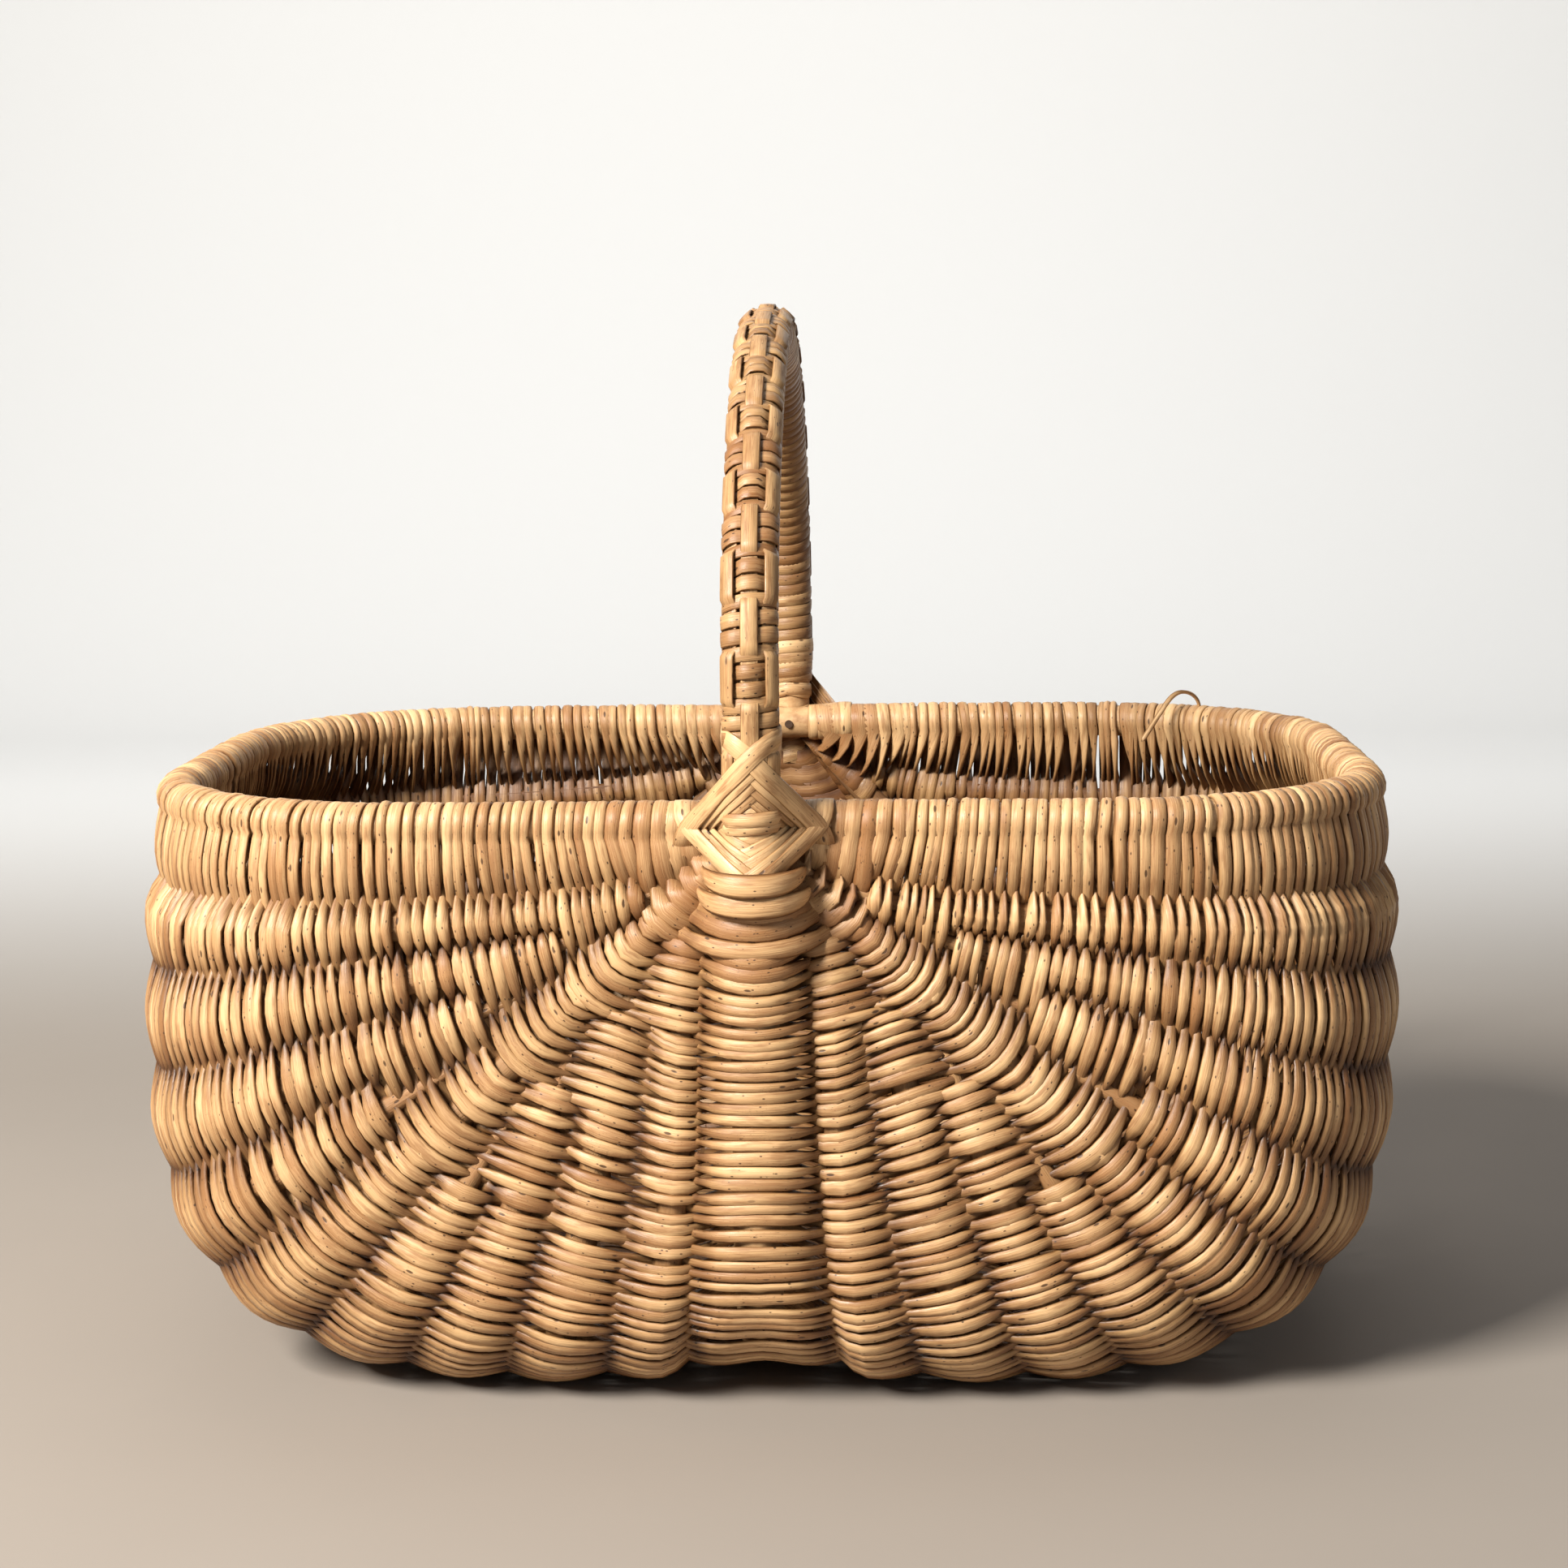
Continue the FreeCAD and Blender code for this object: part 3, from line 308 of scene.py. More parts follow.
def lengths_along(points):
    """How far each point lies along the line of points."""
    return np.concatenate([[0], np.cumsum(np.linalg.norm(np.diff(points, axis=0), axis=1))])


def softened(points, times):
    """The points with each inner one drawn towards its neighbours, some times over."""
    for _ in range(times):
        points[1:-1] = (points[:-2] + 2 * points[1:-1] + points[2:]) / 4
    return points


def pointed(width, count):
    """A width for each of count stations, drawn to nothing at both ends."""
    width = np.array(np.broadcast_to(width, count), float)
    width[0] = width[-1] = 0
    return width


# ---- skeins: long flat strips bent along a path


def outline(*half):
    """A closed outline: from the inner face round one side, and back down the other."""
    return np.array(list(half) + [(-x, y) for x, y in half[-2::-1]], float)


HALF_ROUND = outline((0, -0.15), (-0.75, -0.1), (-1, 0.14), (-0.66, 0.76), (0, 1))
FLAT = outline((0, 0), (-0.85, 0), (-1, 0.3), (-0.88, 0.84), (0, 1))
LATH = outline((0, 0), (-0.8, 0), (-1, 0.2), (-0.7, 0.75), (0, 1))


class Skeins:
    """Gathers skeins and makes them one mesh; every skein is a grid rolled shut along its path."""

    def __init__(self):
        self.bm = bmesh.new()
        self.fibre = self.bm.verts.layers.float_vector.new("fibre")
        self.tint = self.bm.verts.layers.float_vector.new("tint")

    def add(self, path, wide, face, width, thick, tint, seed, section=HALF_ROUND, twist=None, start=0.0,
            edge_shade=0.8):
        """path, wide, face: rows of points, of the width's direction and of the round side's direction.
        tint: brown, light and red, one for all or one a row. The last argument paints shade at the edges and
        on the underside: how much darker and browner they are."""
        count = len(path)
        tint = np.broadcast_to(tint, (count, 3))
        ahead = units(np.gradient(path, axis=0))
        if wide is None:
            wide = np.cross(face, ahead)
        wide = units(wide - ahead * np.sum(wide * ahead, axis=1, keepdims=True))
        up = np.cross(ahead, wide)
        if twist is None:
            if np.sum(np.sign(np.sum(up * face, axis=1))) < 0:
                wide, up = -wide, -up
        else:
            turn = twist[:, None]
            wide, up = wide * np.cos(turn) + up * np.sin(turn), up * np.cos(turn) - wide * np.sin(turn)
        width = np.broadcast_to(width, count)
        thick = np.broadcast_to(thick, count)
        along = start + lengths_along(path)
        last = len(section) - 1
        ring = bmesh.ops.create_grid(self.bm, x_segments=count - 1, y_segments=last, size=1)["verts"]
        for c, (across, height) in enumerate(section):
            places = path + wide * (across * width / 2)[:, None] + up * (height * thick)[:, None]
            # painted shade: the colour turns darker and browner towards the section's edges and underside,
            # standing in for the shade in the crevices between skeins
            unshaded = 1 - edge_shade * (1 - min(max(height, 0), 1)) ** 1.3 * (0.35 + 0.65 * across ** 2)
            for i in range(count):
                vert = ring[c * count + i]
                vert.co = (places[i, 0], places[i, 1], max(places[i, 2], 0.0))
                vert[self.fibre] = (across * width[i] / 2, along[i], seed)
                vert[self.tint] = (tint[i, 0] + 0.25 * (1 - unshaded), tint[i, 1] * unshaded, tint[i, 2])
        seam = ring[:count] + ring[last * count:]
        ends = [ring[c * count + e] for c in range(last + 1) for e in (0, count - 1)]
        bmesh.ops.remove_doubles(self.bm, verts=list(dict.fromkeys(seam + ends)), dist=1e-7)

    def piece(self, name, material, slot, nodes):
        bmesh.ops.dissolve_degenerate(self.bm, edges=self.bm.edges[:], dist=1e-9)
        bmesh.ops.recalc_face_normals(self.bm, faces=self.bm.faces[:])
        for face in self.bm.faces:
            face.smooth = True
        mesh = bpy.data.meshes.new(name)
        self.bm.to_mesh(mesh)
        self.bm.free()
        piece = bpy.data.objects.new(name, mesh)
        bpy.context.scene.collection.objects.link(piece)
        mesh.materials.append(material)
        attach(piece, "root")
        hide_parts(*nodes)
        return piece


# ---- finishes


def new_material(name):
    material = bpy.data.materials.get(name) or bpy.data.materials.new(name)
    material.use_nodes = True
    material.node_tree.nodes.clear()
    return material, material.node_tree


def node(tree, kind, inputs=None, **settings):
    made = tree.nodes.new(kind)
    for key, value in settings.items():
        setattr(made, key, value)
    for key, value in (inputs or {}).items():
        if isinstance(value, bpy.types.NodeSocket):
            tree.links.new(value, made.inputs[key])
        else:
            made.inputs[key].default_value = value
    return made


def mixed(tree, amount, first, second, blend="MIX"):
    """Mixes two colours; amount, first and second are sockets or values."""
    made = node(tree, "ShaderNodeMix", {0: amount, 6: first, 7: second}, data_type="RGBA", blend_type=blend)
    return made.outputs[2]


def math_node(tree, operation, *values):
    return node(tree, "ShaderNodeMath", dict(enumerate(values)), operation=operation).outputs[0]


def spread(tree, value, low, high, to_low=0.0, to_high=1.0, smooth=True):
    kind = "SMOOTHSTEP" if smooth else "LINEAR"
    inputs = {0: value, 1: low, 2: high, 3: to_low, 4: to_high}
    return node(tree, "ShaderNodeMapRange", inputs, interpolation_type=kind).outputs[0]


def grain(tree, place, scale, detail=3.0, rough=0.55):
    moved = node(tree, "ShaderNodeMapping", {"Vector": place, "Scale": scale})
    inputs = {"Vector": moved.outputs[0], "Scale": 1.0, "Detail": detail, "Roughness": rough}
    return node(tree, "ShaderNodeTexNoise", inputs).outputs["Fac"]


def dots(tree, place, scale, size, rare, strength):
    """Dark round marks in a few cells of a cell pattern."""
    moved = node(tree, "ShaderNodeMapping", {"Vector": place, "Scale": scale})
    cells = node(tree, "ShaderNodeTexVoronoi", {"Vector": moved.outputs[0], "Scale": 1.0})
    pick = node(tree, "ShaderNodeSeparateXYZ", {0: cells.outputs["Color"]}).outputs[0]
    chosen = spread(tree, pick, rare, rare + 0.01, smooth=False)
    mark = spread(tree, cells.outputs["Distance"], size * 0.6, size, 0.9 * strength, 0.0)
    return math_node(tree, "MULTIPLY", chosen, mark)


def colour4(colour):
    return (*colour, 1.0)


def willow(name, colours, rough=0.46, relief=0.00022, spots=1.0, pale=None):
    """Split willow skein: long fibre lines, mottled bark, knots and specks that follow the strip."""
    material, tree = new_material(name)
    fibre = node(tree, "ShaderNodeAttribute", attribute_name="fibre").outputs["Vector"]
    tint = node(tree, "ShaderNodeAttribute", attribute_name="tint").outputs["Vector"]
    brown, light, red = node(tree, "ShaderNodeSeparateXYZ", {0: tint}).outputs
    lines = grain(tree, fibre, (2600, 70, 9), 4)
    fine = grain(tree, fibre, (7000, 240, 5), 2)
    mottle = grain(tree, fibre, (420, 60, 3), 3, 0.6)
    patches = grain(tree, fibre, (70, 11, 7), 2)
    shade = math_node(tree, "ADD", brown, spread(tree, patches, 0.3, 0.72, -0.36, 0.5))
    shade = math_node(tree, "ADD", shade, spread(tree, lines, 0.25, 0.78, -0.26, 0.36))
    shade = node(tree, "ShaderNodeClamp", {0: shade}).outputs[0]
    colour = mixed(tree, shade, colour4(pale or colours.straw), colour4(colours.tan))
    reddish = math_node(tree, "MULTIPLY", red, spread(tree, mottle, 0.3, 0.7, 0.55, 1.0))
    colour = mixed(tree, reddish, colour, colour4(colours.russet))
    stain = spread(tree, mottle, 0.48, 0.68, 0.0, 0.75)
    colour = mixed(tree, stain, colour, colour4(colours.tan))
    knot = dots(tree, fibre, (330, 120, 3.7), 0.20, 0.80, spots)
    pin = dots(tree, fibre, (800, 420, 2.3), 0.26, 0.86, spots)
    specks = grain(tree, fibre, (2600, 900, 31), 1)
    speck = spread(tree, specks, 0.66, 0.74, 0.0, 0.55 * spots)
    speck = math_node(tree, "MULTIPLY", speck, spread(tree, patches, 0.42, 0.6))
    dark = math_node(tree, "MAXIMUM", math_node(tree, "MAXIMUM", knot, pin), speck)
    colour = mixed(tree, dark, colour, colour4(colours.soil))
    # the tint's light channel darkens the colour, more in green and blue so that deeper shade is browner; it
    # carries the painted shade of edges, undersides and valleys as well as each skein's own random tone
    lightness = node(
        tree, "ShaderNodeCombineXYZ",
        {0: light, 1: math_node(tree, "POWER", light, 1.2), 2: math_node(tree, "POWER", light, 1.5)},
    ).outputs[0]
    colour = mixed(tree, 1.0, colour, lightness, "MULTIPLY")
    height = math_node(tree, "ADD", lines, math_node(tree, "MULTIPLY", fine, 0.35))
    height = math_node(tree, "SUBTRACT", height, math_node(tree, "MULTIPLY", knot, 0.8))
    bump = node(tree, "ShaderNodeBump", {"Height": height, "Strength": 0.75, "Distance": relief})
    roughness = spread(tree, mottle, 0.3, 0.7, rough - 0.08, rough + 0.12)
    shader = node(
        tree,
        "ShaderNodeBsdfPrincipled",
        {"Base Color": colour, "Roughness": roughness, "Normal": bump.outputs[0], "Specular IOR Level": 0.5},
    )
    node(tree, "ShaderNodeOutputMaterial", {"Surface": shader.outputs[0]})
    return material


def solid_wood(name, pale, deep, dark, rough=0.6, scale=1.0):
    """Cleft or rounded wood, read from Object coordinates."""
    material, tree = new_material(name)
    place = node(tree, "ShaderNodeTexCoord").outputs["Object"]
    cloud = grain(tree, place, (38 * scale, 38 * scale, 38 * scale), 3)
    streak = grain(tree, place, (260 * scale, 150 * scale, 420 * scale), 4)
    fine = grain(tree, place, (1300, 900, 1700), 2)
    shade = math_node(tree, "MULTIPLY", spread(tree, streak, 0.25, 0.75), 0.6)
    shade = math_node(tree, "ADD", shade, spread(tree, cloud, 0.3, 0.7, 0.0, 0.45))
    shade = node(tree, "ShaderNodeClamp", {0: shade}).outputs[0]
    colour = mixed(tree, shade, colour4(pale), colour4(deep))
    speck = spread(tree, fine, 0.68, 0.78, 0.0, 0.7)
    colour = mixed(tree, speck, colour, colour4(dark))
    height = math_node(tree, "ADD", streak, math_node(tree, "MULTIPLY", fine, 0.3))
    bump = node(tree, "ShaderNodeBump", {"Height": height, "Strength": 0.7, "Distance": 0.0003})
    shader = node(
        tree,
        "ShaderNodeBsdfPrincipled",
        {"Base Color": colour, "Roughness": spread(tree, cloud, 0.3, 0.7, rough - 0.08, rough + 0.1),
         "Normal": bump.outputs[0]},
    )
    node(tree, "ShaderNodeOutputMaterial", {"Surface": shader.outputs[0]})
    return material


# ---- weaving

ROW, BAY_AT_RIM, WRAP = 0, 1, 2
WRAP_LEAVES = math.radians(32)  # how far below the rim rod's side a skein leaves it
STATION = 0.0048                # spacing of the points along a skein between two stakes
ROD_TURN = 1.62                 # how much nearer to the rib a skein turns in beside a rod
OPEN_AT_RIM = 0.66              # how much of its width a skein keeps beside the rim
OPEN_AT_EYE = 0.85              # the same beside an eye
EYE_ROWS = 9                    # rows over which the looks of an eye fade out


class Crossing:
    """Where one row crosses one stake; side is +1 where it passes outside and -1 inside."""

    def __init__(self, stake, s, side, pitch):
        self.point, self.along, self.normal = stake.at(s)
        self.side, self.stand, self.pitch = side, stake.stand, pitch


def weave_half(weave, facing, draw):
    """The whole run of weaving on one half as one line of stations, row after row and back.
    width is the room for the skein, valley its share where it turns in, inside +1 behind a stake."""
    stakes = stakes_across(weave)
    rows = weave.rows
    weights = (1 + 1.1 * np.exp(-np.arange(rows) / 5)) * np.exp(draw.normal(0, weave.variety, rows))
    shares = (np.cumsum(weights) - 0.5 * weights) / np.sum(weights)
    room = (np.roll(weights, 1) + 2 * weights + np.roll(weights, -1)) / 4 / np.sum(weights)
    room[0], room[-1] = weights[0] / np.sum(weights), weights[-1] / np.sum(weights)
    middle = len(stakes) // 2
    even = np.array([weave.first_row + (stake.length - weave.first_row) * shares for stake in stakes])
    mean_place = (even[0] + even[middle]) / 2
    stray = draw.normal(0, 1, (len(stakes), rows))
    stray = (stray + 0.6 * np.roll(stray, 1, axis=0)) * weave.unevenness
    places = even + stray
    pitch = np.array([2 * room * (stake.length - weave.first_row) for stake in stakes])
    out = {key: [] for key in ("path", "wide", "face", "width", "valley", "kind", "row", "inside")}

    def put(path, wide, face, **values):
        out["path"].append(path)
        out["wide"].append(wide)
        out["face"].append(face)
        for key, value in values.items():
            out[key].append(np.broadcast_to(value, len(path)))

    def row_line(j):
        """Stations of row j, left to right, and what its two rim ends are."""
        present = [k for k, stake in enumerate(stakes) if stake.start == 0 or mean_place[j] > stake.start]
        rods = (0, middle, len(stakes) - 1)
        hoop_at = present.index(middle)
        spots = [
            Crossing(stakes[k], places[k, j], (-1) ** (j + abs(i - hoop_at)), pitch[k, j])
            for i, k in enumerate(present)
        ]
        for before, spot, after in zip(spots, spots[1:], spots[2:]):
            normal = unit(np.cross(spot.along, after.point - before.point))
            if np.dot(normal, spot.normal) < 0:
                normal = -normal
            spot.normal = unit(normal + 0.35 * spot.normal)
        # the rim ends hang from the side of the rod that the wrap leaves
        for spot in (spots[0], spots[-1]):
            spot.point = spot.point - np.array([0, 0, spot.stand * math.sin(WRAP_LEAVES)])
            spot.stand *= math.cos(WRAP_LEAVES)
        # each skein bends smoothly over its stakes
        steps = [unit(b.point - a.point) for a, b in zip(spots, spots[1:])]
        lean = [unit(a + b) for a, b in zip([steps[0]] + steps, steps + [steps[-1]])]
        line = []
        for i, (a, b) in enumerate(zip(spots, spots[1:])):
            gap = np.linalg.norm(b.point - a.point)
            count = int(np.clip(round(gap / STATION), 4, 8))
            at_rim = BAY_AT_RIM if i in (0, len(spots) - 2) else ROW
            f = np.arange(count) / count + (0 if i else 0.5 / count)
            if present[i] in rods:
                eased = f ** ROD_TURN
            elif present[i + 1] in rods:
                eased = 1 - (1 - f) ** ROD_TURN
            else:
                eased = f
            swing = (1 - np.cos(math.pi * eased)) / 2
            base = bent(a.point, lean[i] * gap, b.point, lean[i + 1] * gap, f[:, None])
            normal = units(a.normal + (b.normal - a.normal) * f[:, None])
            offset = a.side * a.stand * (1 - swing) + b.side * b.stand * swing
            open_bay = OPEN_AT_EYE * math.exp(-j / EYE_ROWS)
            if at_rim == BAY_AT_RIM:
                open_bay = max(open_bay, OPEN_AT_RIM)
            line.append({
                "path": base + normal * offset[:, None],
                "wide": a.along + (b.along - a.along) * f[:, None],
                "face": normal,
                "width": a.pitch + (b.pitch - a.pitch) * f,
                "valley": open_bay + (1 - open_bay) * np.abs(np.cos(math.pi * eased)) ** 0.55,
                "kind": np.full(count, at_rim),
                "inside": -np.sign(offset),
            })
        return line, ((present[0], spots[0].side), (present[-1], spots[-1].side))

    lines = [row_line(j) for j in range(rows)]
    for j in range(rows):
        line, ends = lines[j]
        rightward = j % 2 == 0
        for bay in line if rightward else line[::-1]:
            put(**{key: part if rightward else part[::-1] for key, part in bay.items()}, row=j)
        if j == rows - 1:
            break
        k, arriving = ends[1] if rightward else ends[0]
        leaving = (lines[j + 1][1][1] if rightward else lines[j + 1][1][0])[1]
        if arriving > 0:
            first = -WRAP_LEAVES
            last = math.pi + WRAP_LEAVES if leaving < 0 else 2 * math.pi - WRAP_LEAVES
        else:
            first = math.pi + WRAP_LEAVES
            last = -WRAP_LEAVES if leaving > 0 else WRAP_LEAVES - math.pi
        # a full turn takes more points than a half one
        count = 13 if abs(last - first) < 5 else 18
        turn = np.linspace(first, last, count)
        stake = stakes[k]
        path, wide, face = [], [], []
        for i, angle in enumerate(turn):
            s = places[k, j] + (places[k, j + 1] - places[k, j]) * i / (count - 1)
            point, along, normal = stake.at(s)
            radial = normal * math.cos(angle) + np.array([0, 0, 1.0]) * math.sin(angle)
            path.append(point + radial * stake.stand)
            wide.append(along)
            face.append(radial)
        put(np.array(path), np.array(wide), np.array(face), width=pitch[k, j], valley=1.0, kind=WRAP, row=j,
            inside=0)
    run = {key: np.concatenate(value) for key, value in out.items()}
    mirror = np.array([1, facing, 1])
    for key in ("path", "wide", "face"):
        run[key] = run[key] * mirror
    ahead = units(np.gradient(run["path"], axis=0))
    wide = units(run["wide"] - ahead * np.sum(run["wide"] * ahead, axis=1, keepdims=True))
    right_way = np.sum(np.cross(ahead, wide) * run["face"], axis=1) >= 0
    twist = np.where(right_way, 0.0, math.pi)
    settled = run["kind"] != BAY_AT_RIM
    index = np.arange(len(twist))
    run["twist"] = np.interp(index, index[settled], twist[settled])
    return run


def cut_into_skeins(run, draw, shortest=0.7, longest=1.7):
    """Pairs of stations where one willow skein starts and ends, always on the inside of a rib."""
    along = lengths_along(run["path"])
    cuts, last = [0], 0.0
    goal = draw.uniform(0.3, longest)
    for i in range(len(along)):
        hidden = run["kind"][i] == ROW and run["inside"][i] > 0 and run["valley"][i] > 0.97
        if hidden and along[i] - last > goal:
            cuts.append(i)
            last, goal = along[i], draw.uniform(shortest, longest)
    cuts.append(len(along) - 1)
    return list(zip(cuts[:-1], cuts[1:])), along


PIECES_A_WALL = 4
LEAD = 4           # stations by which a skein runs on, hidden, past both its ends
TUCK = 0.0024      # how deep its ends are hidden
SWELLS = 4000      # values in the slow stray of the width


def lay_skeins(weave, facing, side_name, nodes, material):
    """The skeins of one half, as a few pieces."""
    draw = np.random.default_rng(weave.seed + (0 if facing > 0 else 100))
    run = weave_half(weave, facing, draw)
    skeins, along = cut_into_skeins(run, draw)
    stations = len(along)
    gathered, filled, part = Skeins(), 0, 1
    slow = draw.normal(0, 1, SWELLS)

    def swell(at):
        return np.interp(at, np.arange(SWELLS), slow)

    for number, (first, last) in enumerate(skeins):
        a, b = max(first - LEAD, 0), min(last + LEAD, stations - 1)
        pick = slice(a, b + 1)
        path, face = run["path"][pick].copy(), run["face"][pick]
        count = len(path)
        tail = np.zeros(count)
        if first > 0:
            tail[: LEAD + 1] = np.linspace(1, 0, LEAD + 1)
        if last < stations - 1:
            tail[-LEAD - 1:] = np.linspace(0, 1, LEAD + 1)
        path -= face * (tail * TUCK)[:, None]
        near_eye = math.exp(-run["row"][first] / EYE_ROWS)
        brown = np.clip(draw.normal(0.36 + 0.22 * near_eye, 0.2), 0.02, 0.95)
        light = np.clip(draw.normal(0.97, 0.09), 0.7, 1.12)
        red = np.clip(draw.exponential(0.07) + 0.22 * near_eye, 0, 0.6)
        size = draw.normal(1.0, 0.055)
        valley = run["valley"][pick]
        share = weave.valley_width + (1 - weave.valley_width) * valley
        wobble = 1 + 0.06 * swell(np.arange(count) / 9.0 + number * 13)
        wobble -= 0.22 * np.clip(swell(np.arange(count) / 14.0 + number * 7) - 1.3, 0, 1)
        width = run["width"][pick] * weave.fullness * (1 + 0.4 * near_eye) * size * share * wobble
        flat = np.clip(draw.normal(0.62, 0.3), 0, 1)
        section = HALF_ROUND + (FLAT - HALF_ROUND) * flat
        plump = 1 + 0.28 * (1 - valley)
        thick = weave.skein_thickness * (1 - 0.28 * flat) * plump * draw.normal(1.0, 0.09) * (1 - 0.35 * tail)
        # painted shade: a skein is darker and browner where it turns in behind a stake, standing in for the
        # shade in the valleys of the weave
        tint = np.empty((count, 3))
        tint[:, 0] = brown + 0.30 * (1 - valley)
        tint[:, 1] = light * (1 - 0.82 * (1 - valley) ** 0.75)
        tint[:, 2] = red
        seed = number * 0.37 + 5 * (facing > 0)
        gathered.add(path, run["wide"][pick], face, pointed(width, count), thick, tint, seed, section=section,
                     twist=run["twist"][pick], start=along[a])
        filled += count
        full = filled > stations / PIECES_A_WALL and part < PIECES_A_WALL
        if full or number == len(skeins) - 1:
            gathered.piece(f"{side_name}_weave_{part}", material, "weave", nodes)
            gathered, filled, part = Skeins(), 0, part + 1


class BASKET_OT_weave(bpy.types.Operator):
    """Weave the front and back walls and carry every skein over the rim"""

    bl_idname = "basket.weave"
    bl_label = "Weave the Walls"

    def execute(self, context):
        weave, colours = context.scene.basket_weave, context.scene.basket_colours
        material = willow("willow_weave", colours)
        lay_skeins(weave, 1, "front", ["front_weave", "left_rim_binding", "right_rim_binding"], material)
        lay_skeins(weave, -1, "back", ["back_weave", "left_rim_binding", "right_rim_binding"], material)
        return {"FINISHED"}


# ---- lashed eyes

EYE_LIFT = 0.0035            # the middle of an eye above the rim's
EYE_THICK = 0.0010
FIRST_LAP = 0.0005           # gap under the first ring
RING_LAP = 0.00065           # further out for each ring
BEHIND = math.radians(265)   # how far round a rod a skein's hidden end goes
TOUCH = math.radians(58)     # where a skein leaves the hoop for the rim
RIM_RUN = 0.0022             # how far a skein drifts along the rim behind it
# two broad floats on the main rib: height from the rim, reach, gap to the rod and width
FLOATS = ((-0.0258, 0.0195, 0.0040, 0.0088), (-0.0182, 0.0180, 0.0052, 0.0090))
FLOAT_THICK = 0.0013
FLOAT_BACK = 0.0075          # how far behind the hoop's middle a float's ends lie
# two short lengths in the heart of an eye: height and gap to the rod
HEART_LENGTHS = ((-0.0014, 0.0014), (0.0016, 0.0019))
HEART_REACH = 0.0102
HEART_WIDTH = 0.0052


def eye_strip(above, right, ring, lash, facing):
    """One skein of a ring, from behind the hoop, over it, across to the rim, over it and behind.
    above: +1 above the rim, -1 below; right: +1 right, -1 left."""
    share = (ring / (lash.eye_rings - 1)) ** 0.8
    out_x = lash.eye_heart[0] + (lash.eye_radius - lash.eye_heart[0]) * share
    out_z = lash.eye_heart[1] + (lash.eye_radius - lash.eye_heart[1]) * share
    lap = FIRST_LAP + RING_LAP * ring
    hoop_r, rim_r, rim_side = HOOP_ROD + lap, RIM_ROD + lap, RIM_HIGH.y - RIM_ROD
    steep = out_z / out_x
    path, face = [], []

    def sunk(angle):
        """How far a skein settles towards the rod behind it."""
        return lap * 0.78 * ease(np.clip(angle / 1.8 - 0.15, 0, 1))

    def put(x, y, z, normal):
        lift = EYE_LIFT * min(max(1 - x / out_x, 0), 1)
        path.append((right * x, -y, RIM_HEIGHT + above * z + lift))
        face.append((right * normal[0], -normal[1], above * normal[2]))

    # behind and round the hoop, to its front from the far side
    for angle in np.linspace(BEHIND, math.radians(6), 20):
        far = 0.0075 if above > 0 else 0.002
        rise = far * math.tanh(hoop_r * angle * steep / far)
        if above < 0:
            rise -= 0.006 * (angle / math.pi) ** 1.5
        radius = hoop_r - sunk(angle)
        put(-radius * math.sin(angle), HOOP_SIDE + radius * math.cos(angle), out_z + rise,
            (-math.sin(angle), math.cos(angle), 0))
    # down the hoop's near side and across to the rim
    for angle in np.linspace(0, TOUCH, 6):
        x, y = hoop_r * math.sin(angle), hoop_r * math.cos(angle)
        put(x, HOOP_SIDE + y, out_z * (1 - x / out_x), (x / hoop_r, y / hoop_r, 0))
    start = np.array([hoop_r * math.sin(TOUCH), HOOP_SIDE + hoop_r * math.cos(TOUCH)])
    stop = np.array([max(out_x, hoop_r + 0.0006), rim_side + rim_r])
    lean = unit(np.array([start[1] - stop[1], stop[0] - start[0]]))
    for f in np.linspace(0.15, 0.9, 5):
        x, y = start + (stop - start) * f
        put(x, y, max(out_z * (1 - x / out_x), 0), (lean[0], lean[1], 0))
    # over the rim rod and behind it
    for angle in np.linspace(math.radians(10), BEHIND, 19):
        run = RIM_RUN * math.tanh(rim_r * angle / steep / RIM_RUN)
        radius = rim_r - sunk(angle)
        put(stop[0] + run, rim_side + radius * math.cos(angle), -radius * math.sin(angle),
            (0, math.cos(angle), -math.sin(angle)))
    path, face = softened(np.array(path), 2), softened(np.array(face), 2)
    mirror = np.array([1, facing, 1])
    return path * mirror, units(face * mirror)


def float_under_eye(low, reach, over, facing):
    """One broad float across the main rib, over the ends of the eye's lashing, and its turn."""
    turn = np.linspace(-math.pi / 2, math.pi / 2, 21)
    f = turn / (math.pi / 2)
    y = HOOP_SIDE - FLOAT_BACK + (HOOP_ROD + over + FLOAT_BACK) * np.maximum(np.cos(turn), 0) ** 0.85
    path = np.column_stack([reach * np.sin(turn), -y * facing, RIM_HEIGHT + low + 0.0035 * f ** 2])
    face = np.column_stack([np.sin(f * 1.2), -np.cos(f * 1.2) * facing, 0.1 - 0.3 * f ** 2])
    return path, units(face), np.maximum(np.cos(turn), 0)


def heart_length(low, bow, facing):
    """One short length of skein across the heart of an eye."""
    x = np.linspace(-HEART_REACH, HEART_REACH, 15)
    rod = HOOP_ROD + bow
    y = HOOP_SIDE + np.sqrt(np.maximum(rod ** 2 - x ** 2, (0.45 * rod) ** 2))
    path = np.column_stack([x, -y * facing, RIM_HEIGHT + EYE_LIFT + low + 0.06 * x])
    return path, units(np.column_stack([x, -(y - HOOP_SIDE) * facing, 0 * x]))


